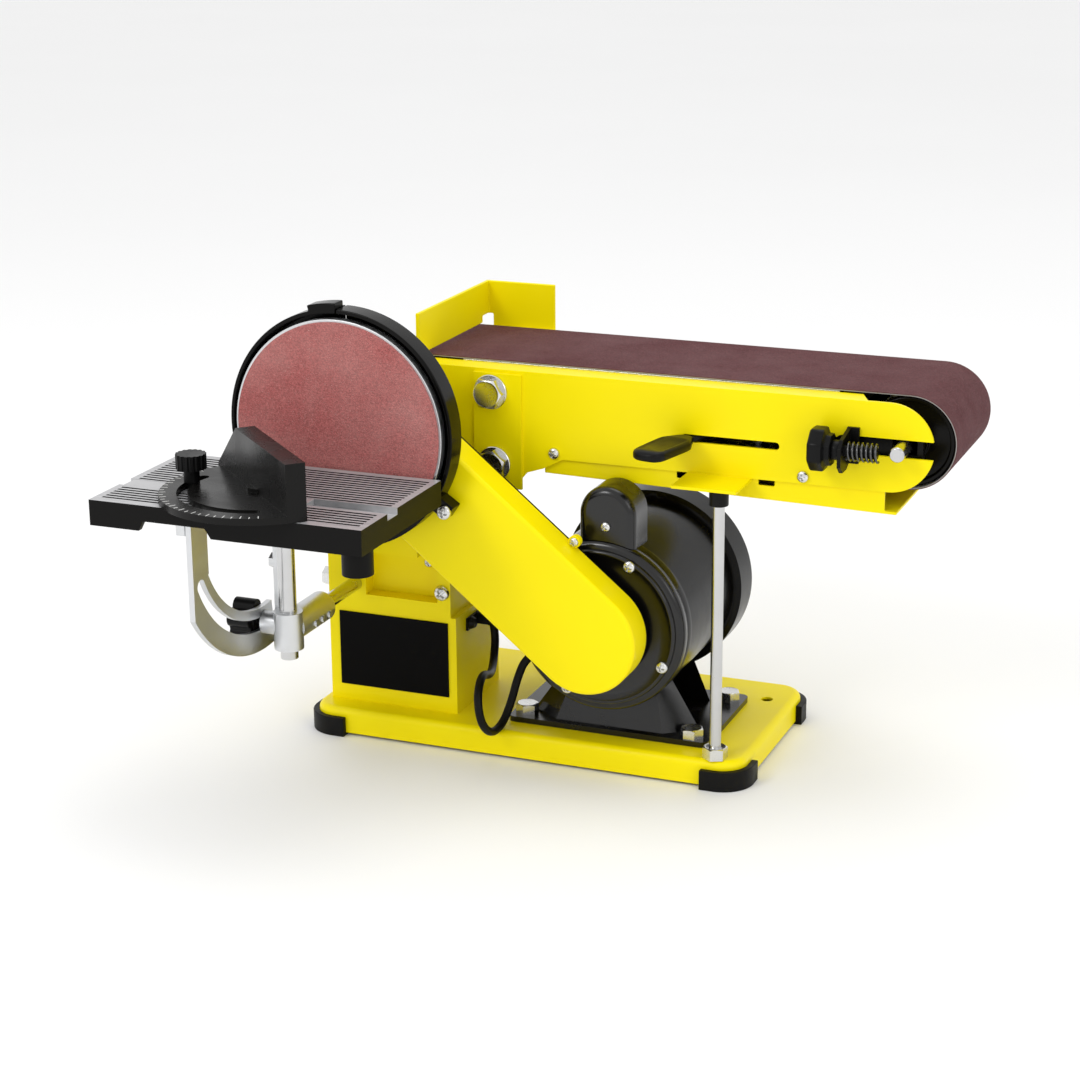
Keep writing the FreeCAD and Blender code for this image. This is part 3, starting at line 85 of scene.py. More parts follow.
# ---------------------------------------------------------------- materials
class Shader:
    """A material on one Principled shader, with short calls for the nodes that feed it."""

    def __init__(self, name, colour, roughness, metallic=0.0, **sockets):
        self.material = bpy.data.materials.new(name)
        self.material.use_nodes = True
        self.nodes = self.material.node_tree.nodes
        self.links = self.material.node_tree.links
        self.shader = self.nodes["Principled BSDF"]
        self.colour = colour
        self.set("Base Color", (*colour, 1))
        self.set("Roughness", roughness)
        self.set("Metallic", metallic)
        for key, value in sockets.items():
            self.set(key.replace("_", " "), value)
        self.material.diffuse_color = (*colour, 1)
        self.place = self.nodes.new("ShaderNodeTexCoord").outputs["Object"]

    def set(self, socket, value):
        self.shader.inputs[socket].default_value = value

    def node(self, kind, inputs=(), **settings):
        made = self.nodes.new("ShaderNode" + kind)
        for key, value in settings.items():
            setattr(made, key, value)
        for key, value in dict(inputs).items():
            if isinstance(value, bpy.types.NodeSocket):
                self.links.new(value, made.inputs[key])
            else:
                made.inputs[key].default_value = value
        return made

    def noise(self, scale, detail=3.0, roughness=0.55, vector=None):
        made = self.node("TexNoise", {"Vector": vector or self.place, "Scale": scale,
                                      "Detail": detail, "Roughness": roughness})
        return made.outputs["Fac"]

    def span(self, value, low, high, to_low=0.0, to_high=1.0):
        made = self.node("MapRange", {"Value": value, "From Min": low, "From Max": high,
                                      "To Min": to_low, "To Max": to_high})
        return made.outputs["Result"]

    def maths(self, operation, first, second):
        made = self.node("Math", {0: first, 1: second}, operation=operation)
        return made.outputs[0]

    def blend(self, fac, first, second):
        made = self.node("Mix", data_type="RGBA")
        for index, value in ((0, fac), (6, first), (7, second)):
            if isinstance(value, bpy.types.NodeSocket):
                self.links.new(value, made.inputs[index])
            else:
                made.inputs[index].default_value = value if index == 0 else (*value[:3], 1)
        return made.outputs[2]

    def link(self, output, socket):
        self.links.new(output, self.shader.inputs[socket])

    def bump(self, height, strength, distance, below=None):
        inputs = {"Height": height, "Strength": strength, "Distance": distance}
        if below is not None:
            inputs["Normal"] = below
        return self.node("Bump", inputs).outputs["Normal"]

    def mottle(self, scale, amount, detail=3.0):
        """Slight lighter and darker patches over the base colour."""
        light = tuple(min(1.0, c * (1 + amount)) for c in self.colour)
        dark = tuple(c * (1 - amount) for c in self.colour)
        fac = self.span(self.noise(scale, detail), 0.3, 0.7)
        self.link(self.blend(fac, dark, light), "Base Color")

    def rough(self, scale, low, high, detail=3.0):
        self.link(self.span(self.noise(scale, detail), 0.3, 0.7, low, high), "Roughness")


def painted(name, colour, roughness, peel, coat=0.1, shine=0.3):
    """Powder coat: faint orange peel, slow changes of sheen, and slight lighter and darker patches of tone.
    """
    paint = Shader(name, colour, roughness, Coat_Weight=coat, Coat_Roughness=0.12, Specular_IOR_Level=shine)
    paint.mottle(9, 0.03)
    paint.rough(35, roughness - 0.06, roughness + 0.08)
    fine = paint.bump(paint.noise(1400, 2), peel, 0.00012)
    wide = paint.bump(paint.noise(260, 2), peel * 0.6, 0.0004, fine)
    paint.link(wide, "Normal")
    return paint.material


def metal(name, colour, roughness, grain, scratch=0.0, metallic=1.0):
    """Bare or plated metal with tarnish in patches, a fine grain and short scratches."""
    bare = Shader(name, colour, roughness, metallic)
    bare.mottle(45, 0.03, 4)
    bare.rough(110, roughness - 0.05, roughness + 0.06, 5)
    normal = bare.bump(bare.noise(1100, 4), grain, 0.0002)
    if scratch:
        stretched = bare.node("Mapping", {"Vector": bare.place, "Scale": (30, 900, 900)})
        lines = bare.noise(1.0, 4, 0.6, stretched.outputs[0])
        normal = bare.bump(lines, scratch, 0.0002, normal)
    bare.link(normal, "Normal")
    return bare.material


def plastic(name, colour, roughness, texture, coat=0.0, shine=0.3):
    """Moulded plastic or rubber with a spark-eroded texture."""
    moulded = Shader(name, colour, roughness, Coat_Weight=coat, Coat_Roughness=0.15,
                     Specular_IOR_Level=shine)
    moulded.mottle(40, 0.10)
    moulded.rough(90, roughness - 0.05, roughness + 0.1)
    moulded.link(moulded.bump(moulded.noise(2600, 3), texture, 0.00015), "Normal")
    return moulded.material


def abrasive(name, colour, speck):
    """Resin-bonded grit: sharp grains of two shades, painted glints (small pale spots standing for light
    caught on the grains), and patches loaded with dust.
    """
    grit = Shader(name, colour, 0.85, Specular_IOR_Level=0.12)
    grains = grit.node("TexVoronoi", {"Vector": grit.place, "Scale": 1500})
    tint = grit.span(grit.node("SeparateColor", {"Color": grains.outputs["Color"]}).outputs[0], 0, 1)
    dark, light = (tuple(c * share for c in colour) for share in (0.72, 1.25))
    shade = grit.blend(tint, dark, light)
    # Painted highlight: small pale spots of the speck colour stand for glints of light off the grains.
    painted_glint = grit.span(grit.noise(2300, 2), 0.66, 0.74)
    shade = grit.blend(painted_glint, shade, speck)
    loaded = grit.span(grit.noise(22, 5, 0.65), 0.35, 0.75)
    shade = grit.blend(grit.maths("MULTIPLY", loaded, 0.16), shade, speck)
    grit.link(shade, "Base Color")
    normal = grit.bump(grains.outputs["Distance"], 0.55, 0.0006)
    normal = grit.bump(grit.noise(900, 4), 0.35, 0.0005, normal)
    grit.link(normal, "Normal")
    return grit.material


# The table's gauge slot: its middle, in mm out from the disc's face, then its half width and depth in metres.
SLOT_Y = -77
SLOT_HALF, SLOT_DEEP = 0.0073, 0.0042


def ground_table():
    """Black painted casting whose top lands and milled gauge slot are bright."""
    cast = Shader("ground_casting", (0.0030, 0.0027, 0.0024), 0.36, Specular_IOR_Level=0.12)
    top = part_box("table")[1].z
    place = cast.node("SeparateXYZ", {"Vector": cast.place})
    height = place.outputs["Z"]
    slot = cast.maths("COMPARE", place.outputs["Y"], at(0, SLOT_Y, 0).y)
    slot.node.inputs[2].default_value = SLOT_HALF
    floor = top - SLOT_DEEP
    slot = cast.maths("MULTIPLY", slot, cast.span(height, floor - 0.0003, floor - 0.0001))
    normal = cast.node("TexCoord").outputs["Normal"]
    facing = cast.span(cast.node("SeparateXYZ", {"Vector": normal}).outputs["Z"], 0.6, 0.8)
    land = cast.maths("MULTIPLY", cast.span(height, top - 0.0007, top - 0.0004), facing)
    land = cast.maths("MAXIMUM", land, slot)
    along = cast.node("Mapping", {"Vector": cast.place, "Scale": (40, 1500, 40)})
    lines = cast.noise(1.0, 4, 0.6, along.outputs[0])
    bright = cast.blend(cast.span(lines, 0.3, 0.7), (0.36, 0.36, 0.37), (0.60, 0.60, 0.61))
    cast.link(cast.blend(land, cast.colour, bright), "Base Color")
    cast.link(cast.span(land, 0, 1, 0.0, 0.35), "Metallic")
    cast.link(cast.span(land, 0, 1, 0.45, 0.33), "Roughness")
    cast.link(cast.bump(cast.noise(1200, 3), 0.25, 0.0003), "Normal")
    return cast.material


def belt_cloth():
    """The belt's pale grey backing, woven in two directions."""
    cloth = Shader("belt_cloth", (0.30, 0.28, 0.27), 0.85, Sheen_Weight=0.2)
    cloth.mottle(45, 0.12)
    waves = [cloth.node("TexWave", {"Vector": cloth.place, "Scale": 420.0, "Distortion": 0.6},
                        bands_direction=way).outputs["Fac"] for way in "XY"]
    cloth.link(cloth.bump(cloth.maths("ADD", *waves), 0.4, 0.0003), "Normal")
    return cloth.material


M = {}


def make_materials():
    M["yellow"] = painted("yellow_powder_coat", (0.93, 0.775, 0.0), 0.36, 0.10, 0.03, 0.14)
    M["black_paint"] = painted("black_gloss_paint", (0.0028, 0.0025, 0.0022), 0.20, 0.10, 0.0, 0.12)
    M["black_gloss"] = painted("black_gloss_enamel", (0.0025, 0.0023, 0.0022), 0.20, 0.08, 0.0, 0.5)
    M["black_satin"] = painted("black_satin_paint", (0.0032, 0.003, 0.0026), 0.30, 0.14, 0.0, 0.13)
    M["zinc"] = metal("zinc_plate", (0.70, 0.70, 0.69), 0.25, 0.05)
    M["steel"] = metal("drawn_steel", (0.58, 0.58, 0.58), 0.22, 0.03, 0.04)
    M["ground_bar"] = metal("ground_bar", (0.50, 0.50, 0.51), 0.34, 0.05, 0.05, 0.45)
    M["dark_steel"] = metal("blackened_steel", (0.11, 0.11, 0.11), 0.26, 0.05)
    M["cast"] = metal("cast_aluminium", (0.66, 0.67, 0.68), 0.38, 0.22)
    M["machined"] = metal("machined_aluminium", (0.84, 0.85, 0.86), 0.22, 0.04, 0.08)
    M["plastic"] = plastic("black_plastic", (0.0035, 0.0035, 0.0035), 0.32, 0.12, 0.0, 0.15)
    M["rubber"] = plastic("black_rubber", (0.004, 0.0038, 0.0035), 0.42, 0.16, 0.0, 0.14)
    M["gloss"] = plastic("gloss_label", (0.0012, 0.001, 0.0008), 0.14, 0.03, 0.0, 0.06)
    M["table_casting"] = ground_table()
    M["mitre_casting"] = painted("grey_black_casting", (0.005, 0.0047, 0.0043), 0.26, 0.24, 0.0, 0.16)
    M["disc_paper"] = abrasive("disc_paper", (0.40, 0.118, 0.112), (0.75, 0.55, 0.50))
    M["belt_grit"] = abrasive("belt_grit", (0.108, 0.039, 0.042), (0.34, 0.22, 0.22))
    M["cloth"] = belt_cloth()
    M["white_ink"] = plastic("white_ink", (0.75, 0.75, 0.73), 0.55, 0.1)
    M["green"] = plastic("green_plastic", (0.02, 0.33, 0.07), 0.25, 0.08, 0.4)
    M["red"] = plastic("red_plastic", (0.55, 0.015, 0.015), 0.25, 0.08, 0.4)


# ---------------------------------------------------------------- light and floor
def make_studio():
    """A white floor and world with three soft area lamps."""
    mesh = bpy.data.meshes.new("floor")
    far = 40
    mesh.from_pydata([(-far, -far, 0), (far, -far, 0), (far, far, 0), (-far, far, 0)], [], [(0, 1, 2, 3)])
    floor = bpy.data.objects.new("floor", mesh)
    bpy.context.scene.collection.objects.link(floor)
    pale = Shader("pale_floor", (0.92, 0.92, 0.92), 0.7)
    pale.mottle(0.8, 0.01)
    mesh.materials.append(pale.material)
    world = bpy.data.worlds.new("studio")
    bpy.context.scene.world = world
    world.use_nodes = True
    sky = world.node_tree.nodes["Background"]
    sky.inputs["Color"].default_value = (1, 1, 1, 1)
    sky.inputs["Strength"].default_value = 0.95
    subject = at(140, 40, -80)
    for name, place, power, wide in (
        ("key", (-0.9, -1.7, 1.7), 14, 0.7),
        ("fill", (1.9, -1.2, 1.1), 4, 0.8),
        ("top", (0.2, 0.5, 2.3), 8, 1.2),
    ):
        data = bpy.data.lights.new(name, "AREA")
        data.energy = power
        data.size = wide
        lamp = bpy.data.objects.new(name, data)
        lamp.location = place
        lamp.rotation_euler = (subject - Vector(place)).to_track_quat("-Z", "Y").to_euler()
        bpy.context.scene.collection.objects.link(lamp)
    bpy.context.scene.view_settings.view_transform = "Standard"


# ---------------------------------------------------------------- mesh helpers
def soften(node, width):
    """Round a CAD node's edges: its flat triangles are joined first, so that the bevels run clean."""
    piece = NODES[node]
    piece.data.shade_smooth()
    weld = piece.modifiers.new("weld", "WELD")
    weld.merge_threshold = 2e-6
    flat = piece.modifiers.new("flat", "DECIMATE")
    flat.decimate_type = "DISSOLVE"
    flat.angle_limit = math.radians(0.4)
    edge = piece.modifiers.new("edge", "BEVEL")
    edge.width = width / 1000
    edge.segments = 2
    edge.limit_method = "ANGLE"
    edge.angle_limit = math.radians(30)
    edge.miter_outer = "MITER_ARC"
    shade = piece.modifiers.new("shade", "WEIGHTED_NORMAL")
    shade.weight = 80


def dress(node, name):
    """Give a CAD node its material."""
    slots = NODES[node].data.materials
    slots.clear()
    slots.append(M[name])


# Material, bevel width in mm and the nodes that have both.
FINISHES = {
    "yellow": (0.8, ["base_pan", "pedestal", "drive_cover", "arm_side_plate", "arm_far_plate", "belt_tray",
                     "work_stop"]),
    "black_paint": (0.8, ["idler_drum", "guard_left", "guard_right", "cover_back_plate", "motor_stator",
                          "motor_rear_bell"]),
    "black_gloss": (1.2, ["motor_mount", "capacitor_housing"]),
    "black_satin": (0.6, ["switch_box", "idler_yoke", "tracking_bracket"]),
    "mitre_casting": (0.5, ["mitre_head"]),
    "cast": (0.5, ["tilt_trunnion", "t_clamp", "disc_plate"]),
    "machined": (0.3, ["drive_drum", "driven_pulley", "motor_pulley"]),
    "zinc": (0.3, ["rod_lock_bolt", "arm_cross_plate", "platen"]),
    "dark_steel": (0.1, ["tracking_spring"]),
    "steel": (0.3, ["support_rod", "table_rod", "table_post", "idler_axle", "main_shaft", "shaft_bearings",
                    "motor_rotor"]),
    "ground_bar": (0.3, ["mitre_bar"]),
    "plastic": (0.6, ["tilt_knob", "mitre_knob", "support_cap", "lead_clip", "cooling_fan"]),
    "rubber": (0.6, ["rubber_feet", "mains_inlet", "drive_belt"]),
    "gloss": (0.2, ["label_panel"]),
    "green": (0.4, ["green_button"]),
    "red": (0.4, ["red_button"]),
}


def finish_nodes():
    for name, (width, nodes) in FINISHES.items():
        for node in nodes:
            dress(node, name)
            soften(node, width)


# ---------------------------------------------------------------- fasteners
def islands(node):
    """The boxes of a node's separate solids, as (low, high) corners."""
    graph = bmesh.new()
    graph.from_mesh(NODES[node].data)
    bmesh.ops.remove_doubles(graph, verts=graph.verts, dist=2e-6)
    seen, boxes = set(), []
    for start in graph.verts:
        if start in seen:
            continue
        seen.add(start)
        stack, found = [start], []
        while stack:
            vert = stack.pop()
            found.append(vert.co.copy())
            for edge in vert.link_edges:
                other = edge.other_vert(vert)
                if other not in seen:
                    seen.add(other)
                    stack.append(other)
        boxes.append((Vector([min(c[i] for c in found) for i in range(3)]),
                      Vector([max(c[i] for c in found) for i in range(3)])))
    graph.free()
    return boxes


def rings_to_mesh(name, rings, closed):
    """A skin over rings of points that all have the same count, with an end face at each end if closed."""
    count = len(rings[0])
    verts = [tuple(point) for ring in rings for point in ring]
    faces = []
    for row in range(len(rings) - 1):
        for i in range(count):
            j = (i + 1) % count
            a, b = row * count, (row + 1) * count
            faces.append((a + i, a + j, b + j, b + i))
    if closed:
        faces.append(tuple(reversed(range(count))))
        faces.append(tuple(range((len(rings) - 1) * count, len(rings) * count)))
    mesh = bpy.data.meshes.new(name)
    mesh.from_pydata(verts, [], faces)
    mesh.validate()
    return mesh


def frame_of(way):
    """Two directions across way, so that (across, over, way) is right-handed."""
    way = Vector(way)
    across = Vector((0, 0, 1)) if abs(way.z) < 0.5 else Vector((1, 0, 0))
    over = way.cross(across)
    return across, over, way


def hex_rings(foot, way, across_flats, height, turn=0.0):
    """Rings of a hexagon head with its chamfer: the corners fall away below a cone."""
    u, v, w = frame_of(way)
    steps, half = 72, across_flats / 2
    corner = [half / math.cos((math.tau * i / steps + math.pi / 6) % (math.pi / 3) - math.pi / 6)
              for i in range(steps)]

    def ring(radius, level):
        points = []
        for i in range(steps):
            angle = math.tau * i / steps + turn
            points.append(foot + u * radius[i] * math.cos(angle) + v * radius[i] * math.sin(angle)
                          + w * level[i])
        return points
    crown = half * 0.95
    fall = [height - max(0.0, r - crown) * 0.55 for r in corner]
    return [ring(corner, [0.0] * steps), ring(corner, fall), ring([crown] * steps, [height] * steps),
            ring([half * 0.80] * steps, [height - half * 0.05] * steps)]


def turned_rings(foot, way, profile, steps=48):
    """Rings of a turned shape: profile holds (radius, height) pairs."""
    u, v, w = frame_of(way)
    return [[foot + (u * math.cos(math.tau * i / steps) + v * math.sin(math.tau * i / steps)) * radius
             + w * height for i in range(steps)] for radius, height in profile]


def screw_rings(foot, way, radius, height, turn):
    """A domed head with a cross recess pressed into it."""
    u, v, w = frame_of(way)
    steps, rows, rings = 64, 15, []
    for row in range(rows + 1):
        share = 1 - row / rows
        ring = []
        for i in range(steps):
            angle = math.tau * i / steps
            x, y = share * math.cos(angle + turn), share * math.sin(angle + turn)
            level = height * (0.28 + 0.72 * math.sqrt(max(0.0, 1 - share ** 2)))
            narrow, long = min(abs(x), abs(y)), max(abs(x), abs(y))
            wall = max(0.0, min(1.0, (0.15 - narrow) / 0.05))
            tip = max(0.0, min(1.0, (0.62 - long) / 0.16))
            level -= height * 0.50 * wall * tip
            ring.append(foot + (u * math.cos(angle) + v * math.sin(angle)) * share * radius + w * level)
        rings.append(ring)
        if row == 0:
            rings.insert(0, [point - w * height * 0.28 for point in ring])
    rings.pop()
    return rings


def joined(name, parts, material, body, slot, replaced=(), sharp=35, closed=True):
    """One piece from several skins, each closed with end faces or by its last ring meeting its first."""
    graph = bmesh.new()
    for rings in parts:
        mesh = rings_to_mesh(name, rings, closed)
        graph.from_mesh(mesh)
        bpy.data.meshes.remove(mesh)
    bmesh.ops.remove_doubles(graph, verts=graph.verts, dist=1e-7)
    bmesh.ops.recalc_face_normals(graph, faces=graph.faces)
    return piece(name, graph, material, body, slot, replaced, sharp)


def piece(name, graph, material, body, slot, replaced=(), sharp=35):
    """An object from a bmesh: smooth but for its sharp edges, riding on a body."""
    mesh = bpy.data.meshes.new(name)
    graph.to_mesh(mesh)
    graph.free()
    for each in [material] if isinstance(material, str) else material:
        mesh.materials.append(M[each])
    mesh.shade_smooth()
    mesh.set_sharp_from_angle(angle=math.radians(sharp))
    made = bpy.data.objects.new(name, mesh)
    bpy.context.scene.collection.objects.link(made)
    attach(made, body)
    if replaced:
        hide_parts(*replaced)
    return made


# Heads wider than BIG_BOLT are the belt arm's. The flats are shares of the washer's diameter.
BIG_BOLT = 0.02
BIG_FLATS, SMALL_FLATS = 19 / 24, 11 / 14


def bolt_parts(low, high, way, turn, washer=0.0):
    """A washer and a hexagon head that together fill the box from low to high along way."""
    axis = max(range(3), key=lambda i: abs(way[i]))
    sign = 1 if way[axis] > 0 else -1
    foot = (low + high) / 2
    foot[axis] = low[axis] if sign > 0 else high[axis]
    tall = high[axis] - low[axis]
    wide = min(high[i] - low[i] for i in range(3) if i != axis)
    parts, across = [], wide
    if washer:
        rim = wide / 2
        parts.append(turned_rings(foot, way, [(rim, 0), (rim, washer * 0.8), (rim - washer * 0.2, washer),
                                              (rim * 0.6, washer)]))
        across = wide * (BIG_FLATS if wide > BIG_BOLT else SMALL_FLATS)
        foot = foot + Vector(way) * washer
        tall -= washer
    parts.append(hex_rings(foot, Vector(way), across, tall, turn))
    return parts


FORWARD, BACKWARD, UPWARD = Vector((0, -1, 0)), Vector((0, 1, 0)), Vector((0, 0, 1))


def make_fasteners():
    """Screws with cross recesses and bolts with chamfered hexagons, in the places of the CAD's heads."""
    for node, body in (("housing_screws", "base"), ("motor_screws", "base"), ("tray_screws", "belt_arm")):
        parts = []
        for index, (low, high) in enumerate(islands(node)):
            foot = (low + high) / 2
            foot.y = high.y
            radius = (high.x - low.x) / 2
            parts.append(screw_rings(foot, FORWARD, radius, min(high.y - low.y, radius * 0.8), 0.4 + index))
        joined(node + "_phillips", parts, "zinc", body, "zinc_steel", [node])
    parts = []
    for index, (low, high) in enumerate(islands("arm_bolts")):
        big = high.x - low.x > BIG_BOLT
        way = FORWARD if big else BACKWARD
        parts += bolt_parts(low, high, way, 0.35 * index, 0.002 if big else 0.0)
    joined("arm_bolts_hex", parts, "zinc", "belt_arm", "zinc_steel", ["arm_bolts"])
    parts = []
    for index, (low, high) in enumerate(islands("mount_bolts")):
        tall = high.z - low.z
        parts += bolt_parts(low, high, UPWARD, 0.5 * index, 0.0012 if tall > 0.009 else 0.0)
    joined("mount_bolts_hex", parts, "zinc", "base", "zinc_steel", ["mount_bolts"])


# ---------------------------------------------------------------- motor, lever and knob
def make_front_bell():
    """The motor's front end shell, with a bead round its face and a groove in its rim."""
    profile = [(7.05, 7), (7.05, 0.6), (8, 0), (13.4, 0), (14.4, 0.6), (16, 2.5), (17.6, 3), (44, 3),
               (50.9, 3), (51.7, 2.2), (52.7, 2), (53.7, 2.3), (54.3, 3.3), (54.7, 4.6), (56.2, 4.8),
               (57.6, 5.3), (59, 6.3), (59.8, 8), (60, 9.6), (60, 13), (59.4, 13.6), (59.4, 14.6),
               (60, 15.2), (60, 22), (55.1, 22), (55.1, 12), (40, 7)]
    rings = turned_rings(at(164, 50, -134), BACKWARD, [(r / 1000, y / 1000) for r, y in profile], 128)
    joined("front_bell_shell", [rings + rings[:1]], "black_gloss", "base", "black_paint",
           ["motor_front_bell"], 60, closed=False)


def rounded_ring(place, wide, thick, power, dip=0.0):
    """A section across a bar, between an ellipse and a rectangle, its top face dished by dip."""
    points = []
    for i in range(48):
        angle = math.tau * i / 48
        x = math.copysign(abs(math.cos(angle)) ** (2 / power), math.cos(angle))
        z = math.copysign(abs(math.sin(angle)) ** (2 / power), math.sin(angle))
        sunk = dip * max(0.0, min(1.0, (0.78 - abs(x)) / 0.12)) if z > 0 else 0.0
        points.append(place @ Vector((x * wide, 0, z * thick - sunk)) / 1000)
    return points


LEVER_PIVOT = (247.5, 140, -6)


def make_lever():
    """The belt-tension lever: a flat blade on its hub and a dished paddle grip."""
    pivot = Matrix.Translation(Vector(LEVER_PIVOT)) @ Matrix.Rotation(math.radians(-30), 4, "Z")

    def row(matrix, sections, power):
        rings = []
        for y, wide, thick, dip in sections:
            ring = rounded_ring(matrix @ Matrix.Translation(Vector((0, y, 0))), wide, thick, power, dip)
            rings.append([AXIS + point for point in ring])
        return rings
    blade = row(pivot, [(-70, 3.4, 1.3, 0), (-69.4, 4, 1.75, 0), (-5, 4, 1.75, 0), (-4.4, 3.4, 1.3, 0)], 9)
    paddle = pivot @ Matrix.Translation(Vector((0, -66, 0))) @ Matrix.Rotation(math.radians(18), 4, "Z")
    grip = row(paddle, [(1.8, 3.6, 1.6, 0), (0.6, 5.6, 2.8, 0), (-4, 7.4, 3.4, 0), (-10, 10.6, 3.8, 0),
                        (-13, 12, 4, 0), (-16, 12.5, 4, 0.9), (-30, 12.3, 4, 0.9), (-44, 11.7, 4, 0.9),
                        (-47, 11.3, 3.9, 0), (-50, 9.9, 3.6, 0), (-52.4, 7.4, 2.9, 0), (-53.6, 4.6, 1.9, 0),
                        (-54, 2.2, 1, 0)], 3.6)
    hub = turned_rings(at(*LEVER_PIVOT), UPWARD, [
        (0.00405, -0.00175), (0.00875, -0.00175), (0.009, -0.0015),
        (0.009, 0.0015), (0.00875, 0.00175), (0.00405, 0.00175)])
    joined("tension_lever_grip", [blade, grip], "plastic", "lever", "rubber", ["tension_lever"], 50)
    joined("tension_lever_hub", [hub + hub[:1]], "plastic", "lever", "rubber", (), 50, closed=False)


def make_tracking_knob():
    """The belt-tracking knob: eight flats with rounded corners, a collar and its stem."""
    centre, steps = at(303.5, 70, 0), 96

    def ring(share, x):
        points = []
        for i in range(steps):
            angle = math.tau * i / steps
            reach = min(13.75 / math.cos((angle + math.pi / 8) % (math.pi / 4) - math.pi / 8), 14.7) * share
            points.append(centre + Vector((x, reach * math.cos(angle), reach * math.sin(angle))) / 1000)
        return points
    head = [ring(share, x) for share, x in (
        (0.30, 1.6), (0.62, 1.5), (0.68, 0.1), (0.86, 0), (0.95, 0.5), (1, 1.7),
        (1, 8.6), (0.97, 9.6), (0.80, 10.4), (0.74, 11), (0.72, 14), (0.4, 14))]
    stem = turned_rings(centre, Vector((1, 0, 0)), [(r / 1000, x / 1000) for r, x in (
        (5, 13.8), (6.3, 14.2), (6.5, 14.8), (6.5, 18.6), (6.1, 19.2), (4, 19.2), (4, 43), (3.5, 43.5))])
    joined("tracking_knob_octagon", [head, stem], "plastic", "track_screw", "black_plastic",
           ["tracking_knob"], 40)


# ---------------------------------------------------------------- abrasives
# The belt's thickness in metres, and the share of it that is grit.
BELT_THICK, GRIT_SHARE = 0.0012, 0.45


def make_belt():
    """The endless belt: grit outside, cloth inside, with both edges cut square through the two."""
    low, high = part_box("sanding_belt")
    outer = (high.z - low.z) / 2
    near, far = low.x + outer, high.x - outer
    level = (low.z + high.z) / 2
    steps, turns = 60, 32

    def path(radius):
        points = []
        for i in range(turns):
            angle = math.pi / 2 + math.pi * i / turns
            points.append((near + radius * math.cos(angle), level + radius * math.sin(angle)))
        for i in range(steps):
            points.append((near + (far - near) * i / steps, level - radius))
        for i in range(turns):
            angle = -math.pi / 2 + math.pi * i / turns
            points.append((far + radius * math.cos(angle), level + radius * math.sin(angle)))
        for i in range(steps):
            points.append((far - (far - near) * i / steps, level + radius))
        return points
    layers = [path(outer), path(outer - BELT_THICK * GRIT_SHARE), path(outer - BELT_THICK)]
    sides = (low.y, high.y)
    graph = bmesh.new()
    grid = [[[graph.verts.new((x, y, z)) for x, z in layer] for y in sides] for layer in layers]
    count = len(layers[0])
    grit, cloth = 0, 1
    for i in range(count):
        j = (i + 1) % count
        top, mid, bottom = grid
        quads = [
            (grit, (top[0][i], top[0][j], top[1][j], top[1][i])),
            (cloth, (bottom[0][j], bottom[0][i], bottom[1][i], bottom[1][j])),
            (grit, (top[0][j], top[0][i], mid[0][i], mid[0][j])),
            (cloth, (mid[0][j], mid[0][i], bottom[0][i], bottom[0][j])),
            (grit, (top[1][i], top[1][j], mid[1][j], mid[1][i])),
            (cloth, (mid[1][i], mid[1][j], bottom[1][j], bottom[1][i])),
        ]
        for kind, corners in quads:
            graph.faces.new(corners).material_index = kind
    bmesh.ops.recalc_face_normals(graph, faces=graph.faces)
    piece("sanding_belt_cloth", graph, ["belt_grit", "cloth"], "belt_arm", "belt_abrasive", ["sanding_belt"])


# ---------------------------------------------------------------- mitre scale
# The protractor: its pivot in mm, the fence's turn in degrees, then its plate and marks in metres.
MITRE_X, FENCE_TURN = -16, 43.5
PLATE_THICK, MARK_REACH = 0.0045, 0.0646


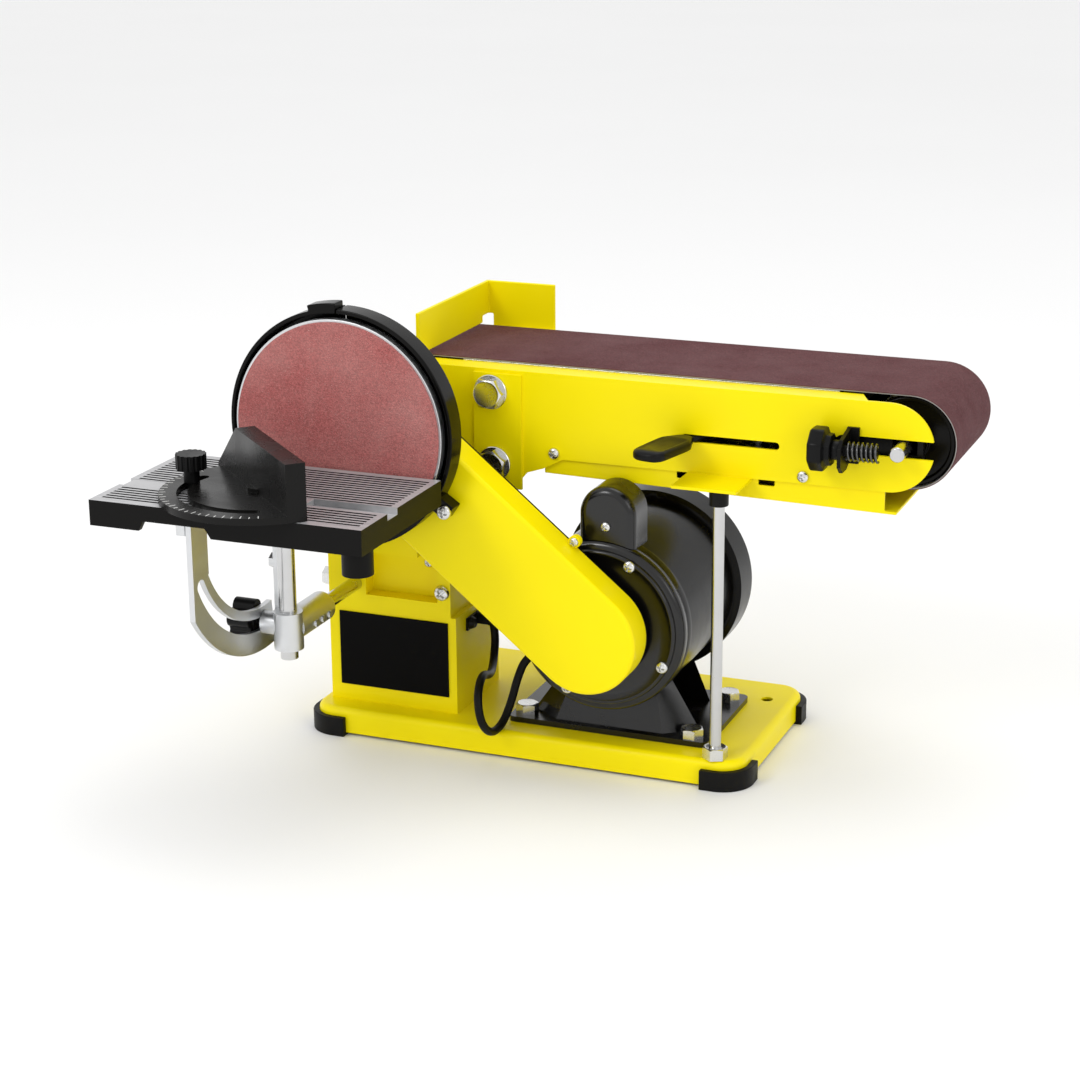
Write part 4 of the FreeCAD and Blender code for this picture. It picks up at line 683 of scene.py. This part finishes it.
def make_mitre_scale():
    """Raised white marks every five degrees along the protractor's rim."""
    centre = at(MITRE_X, SLOT_Y, 0)
    centre.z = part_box("mitre_head")[0].z + PLATE_THICK
    axis = math.radians(90 - FENCE_TURN)
    graph = bmesh.new()
    for step in range(-14, 15):
        turn = axis + math.pi + math.radians(5 * step)
        way = Vector((math.cos(turn), math.sin(turn), 0))
        side = Vector((-way.y, way.x, 0))
        long = 0.0042 if step % 2 == 0 else 0.0028
        half, tall = 0.00028, 0.00012
        corners = []
        for level in (-0.0001, tall):
            for reach, sign in ((MARK_REACH - long, -1), (MARK_REACH, -1), (MARK_REACH, 1),
                                (MARK_REACH - long, 1)):
                spot = centre + way * reach + side * half * sign + Vector((0, 0, level))
                corners.append(graph.verts.new(spot))
        for quad in ((3, 2, 1, 0), (4, 5, 6, 7), (0, 1, 5, 4), (1, 2, 6, 5), (2, 3, 7, 6), (3, 0, 4, 7)):
            graph.faces.new([corners[i] for i in quad])
    piece("mitre_scale", graph, "white_ink", "gauge_head", "black_casting")


# ---------------------------------------------------------------- motor lead
LEAD_ROUTE = [
    (43, 97, -98), (56, 101, -121), (60, 109, -148), (62, 118, -172), (66, 103, -190), (75, 76, -188),
    (80, 50, -177), (84, 32, -186), (87, 30, -204.5), (89, 42.5, -217.5), (90, 61, -217.5),
    (92, 73.5, -204), (95, 78, -187), (101, 80, -172), (115, 87, -161.5),
]
LEAD_LENGTH, LEAD_WIDTH = 0.299, 0.0058


def make_lead():
    """The free loop of rubber flex from the pedestal to the motor, as one smooth spline."""
    data = bpy.data.curves.new("motor_flex", "CURVE")
    data.dimensions = "3D"
    data.bevel_depth = LEAD_WIDTH / 2
    data.bevel_resolution = 6
    data.resolution_u = 24
    data.use_fill_caps = True
    spline = data.splines.new("NURBS")
    spline.points.add(len(LEAD_ROUTE) - 1)
    for point, place in zip(spline.points, LEAD_ROUTE):
        point.co = (*at(*place), 1)
    spline.order_u = 3
    spline.use_endpoint_u = True
    flex = bpy.data.objects.new("motor_flex", data)
    bpy.context.scene.collection.objects.link(flex)
    data.materials.append(M["rubber"])
    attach(flex, "base")
    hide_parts("motor_lead")


make_camera()
make_materials()
make_lead()
make_studio()
finish_nodes()
make_fasteners()
make_front_bell()
make_lever()
make_tracking_knob()
make_belt()
make_mitre_scale()
dress("abrasive_disc", "disc_paper")
dress("table", "table_casting")
bpy.context.view_layer.update()
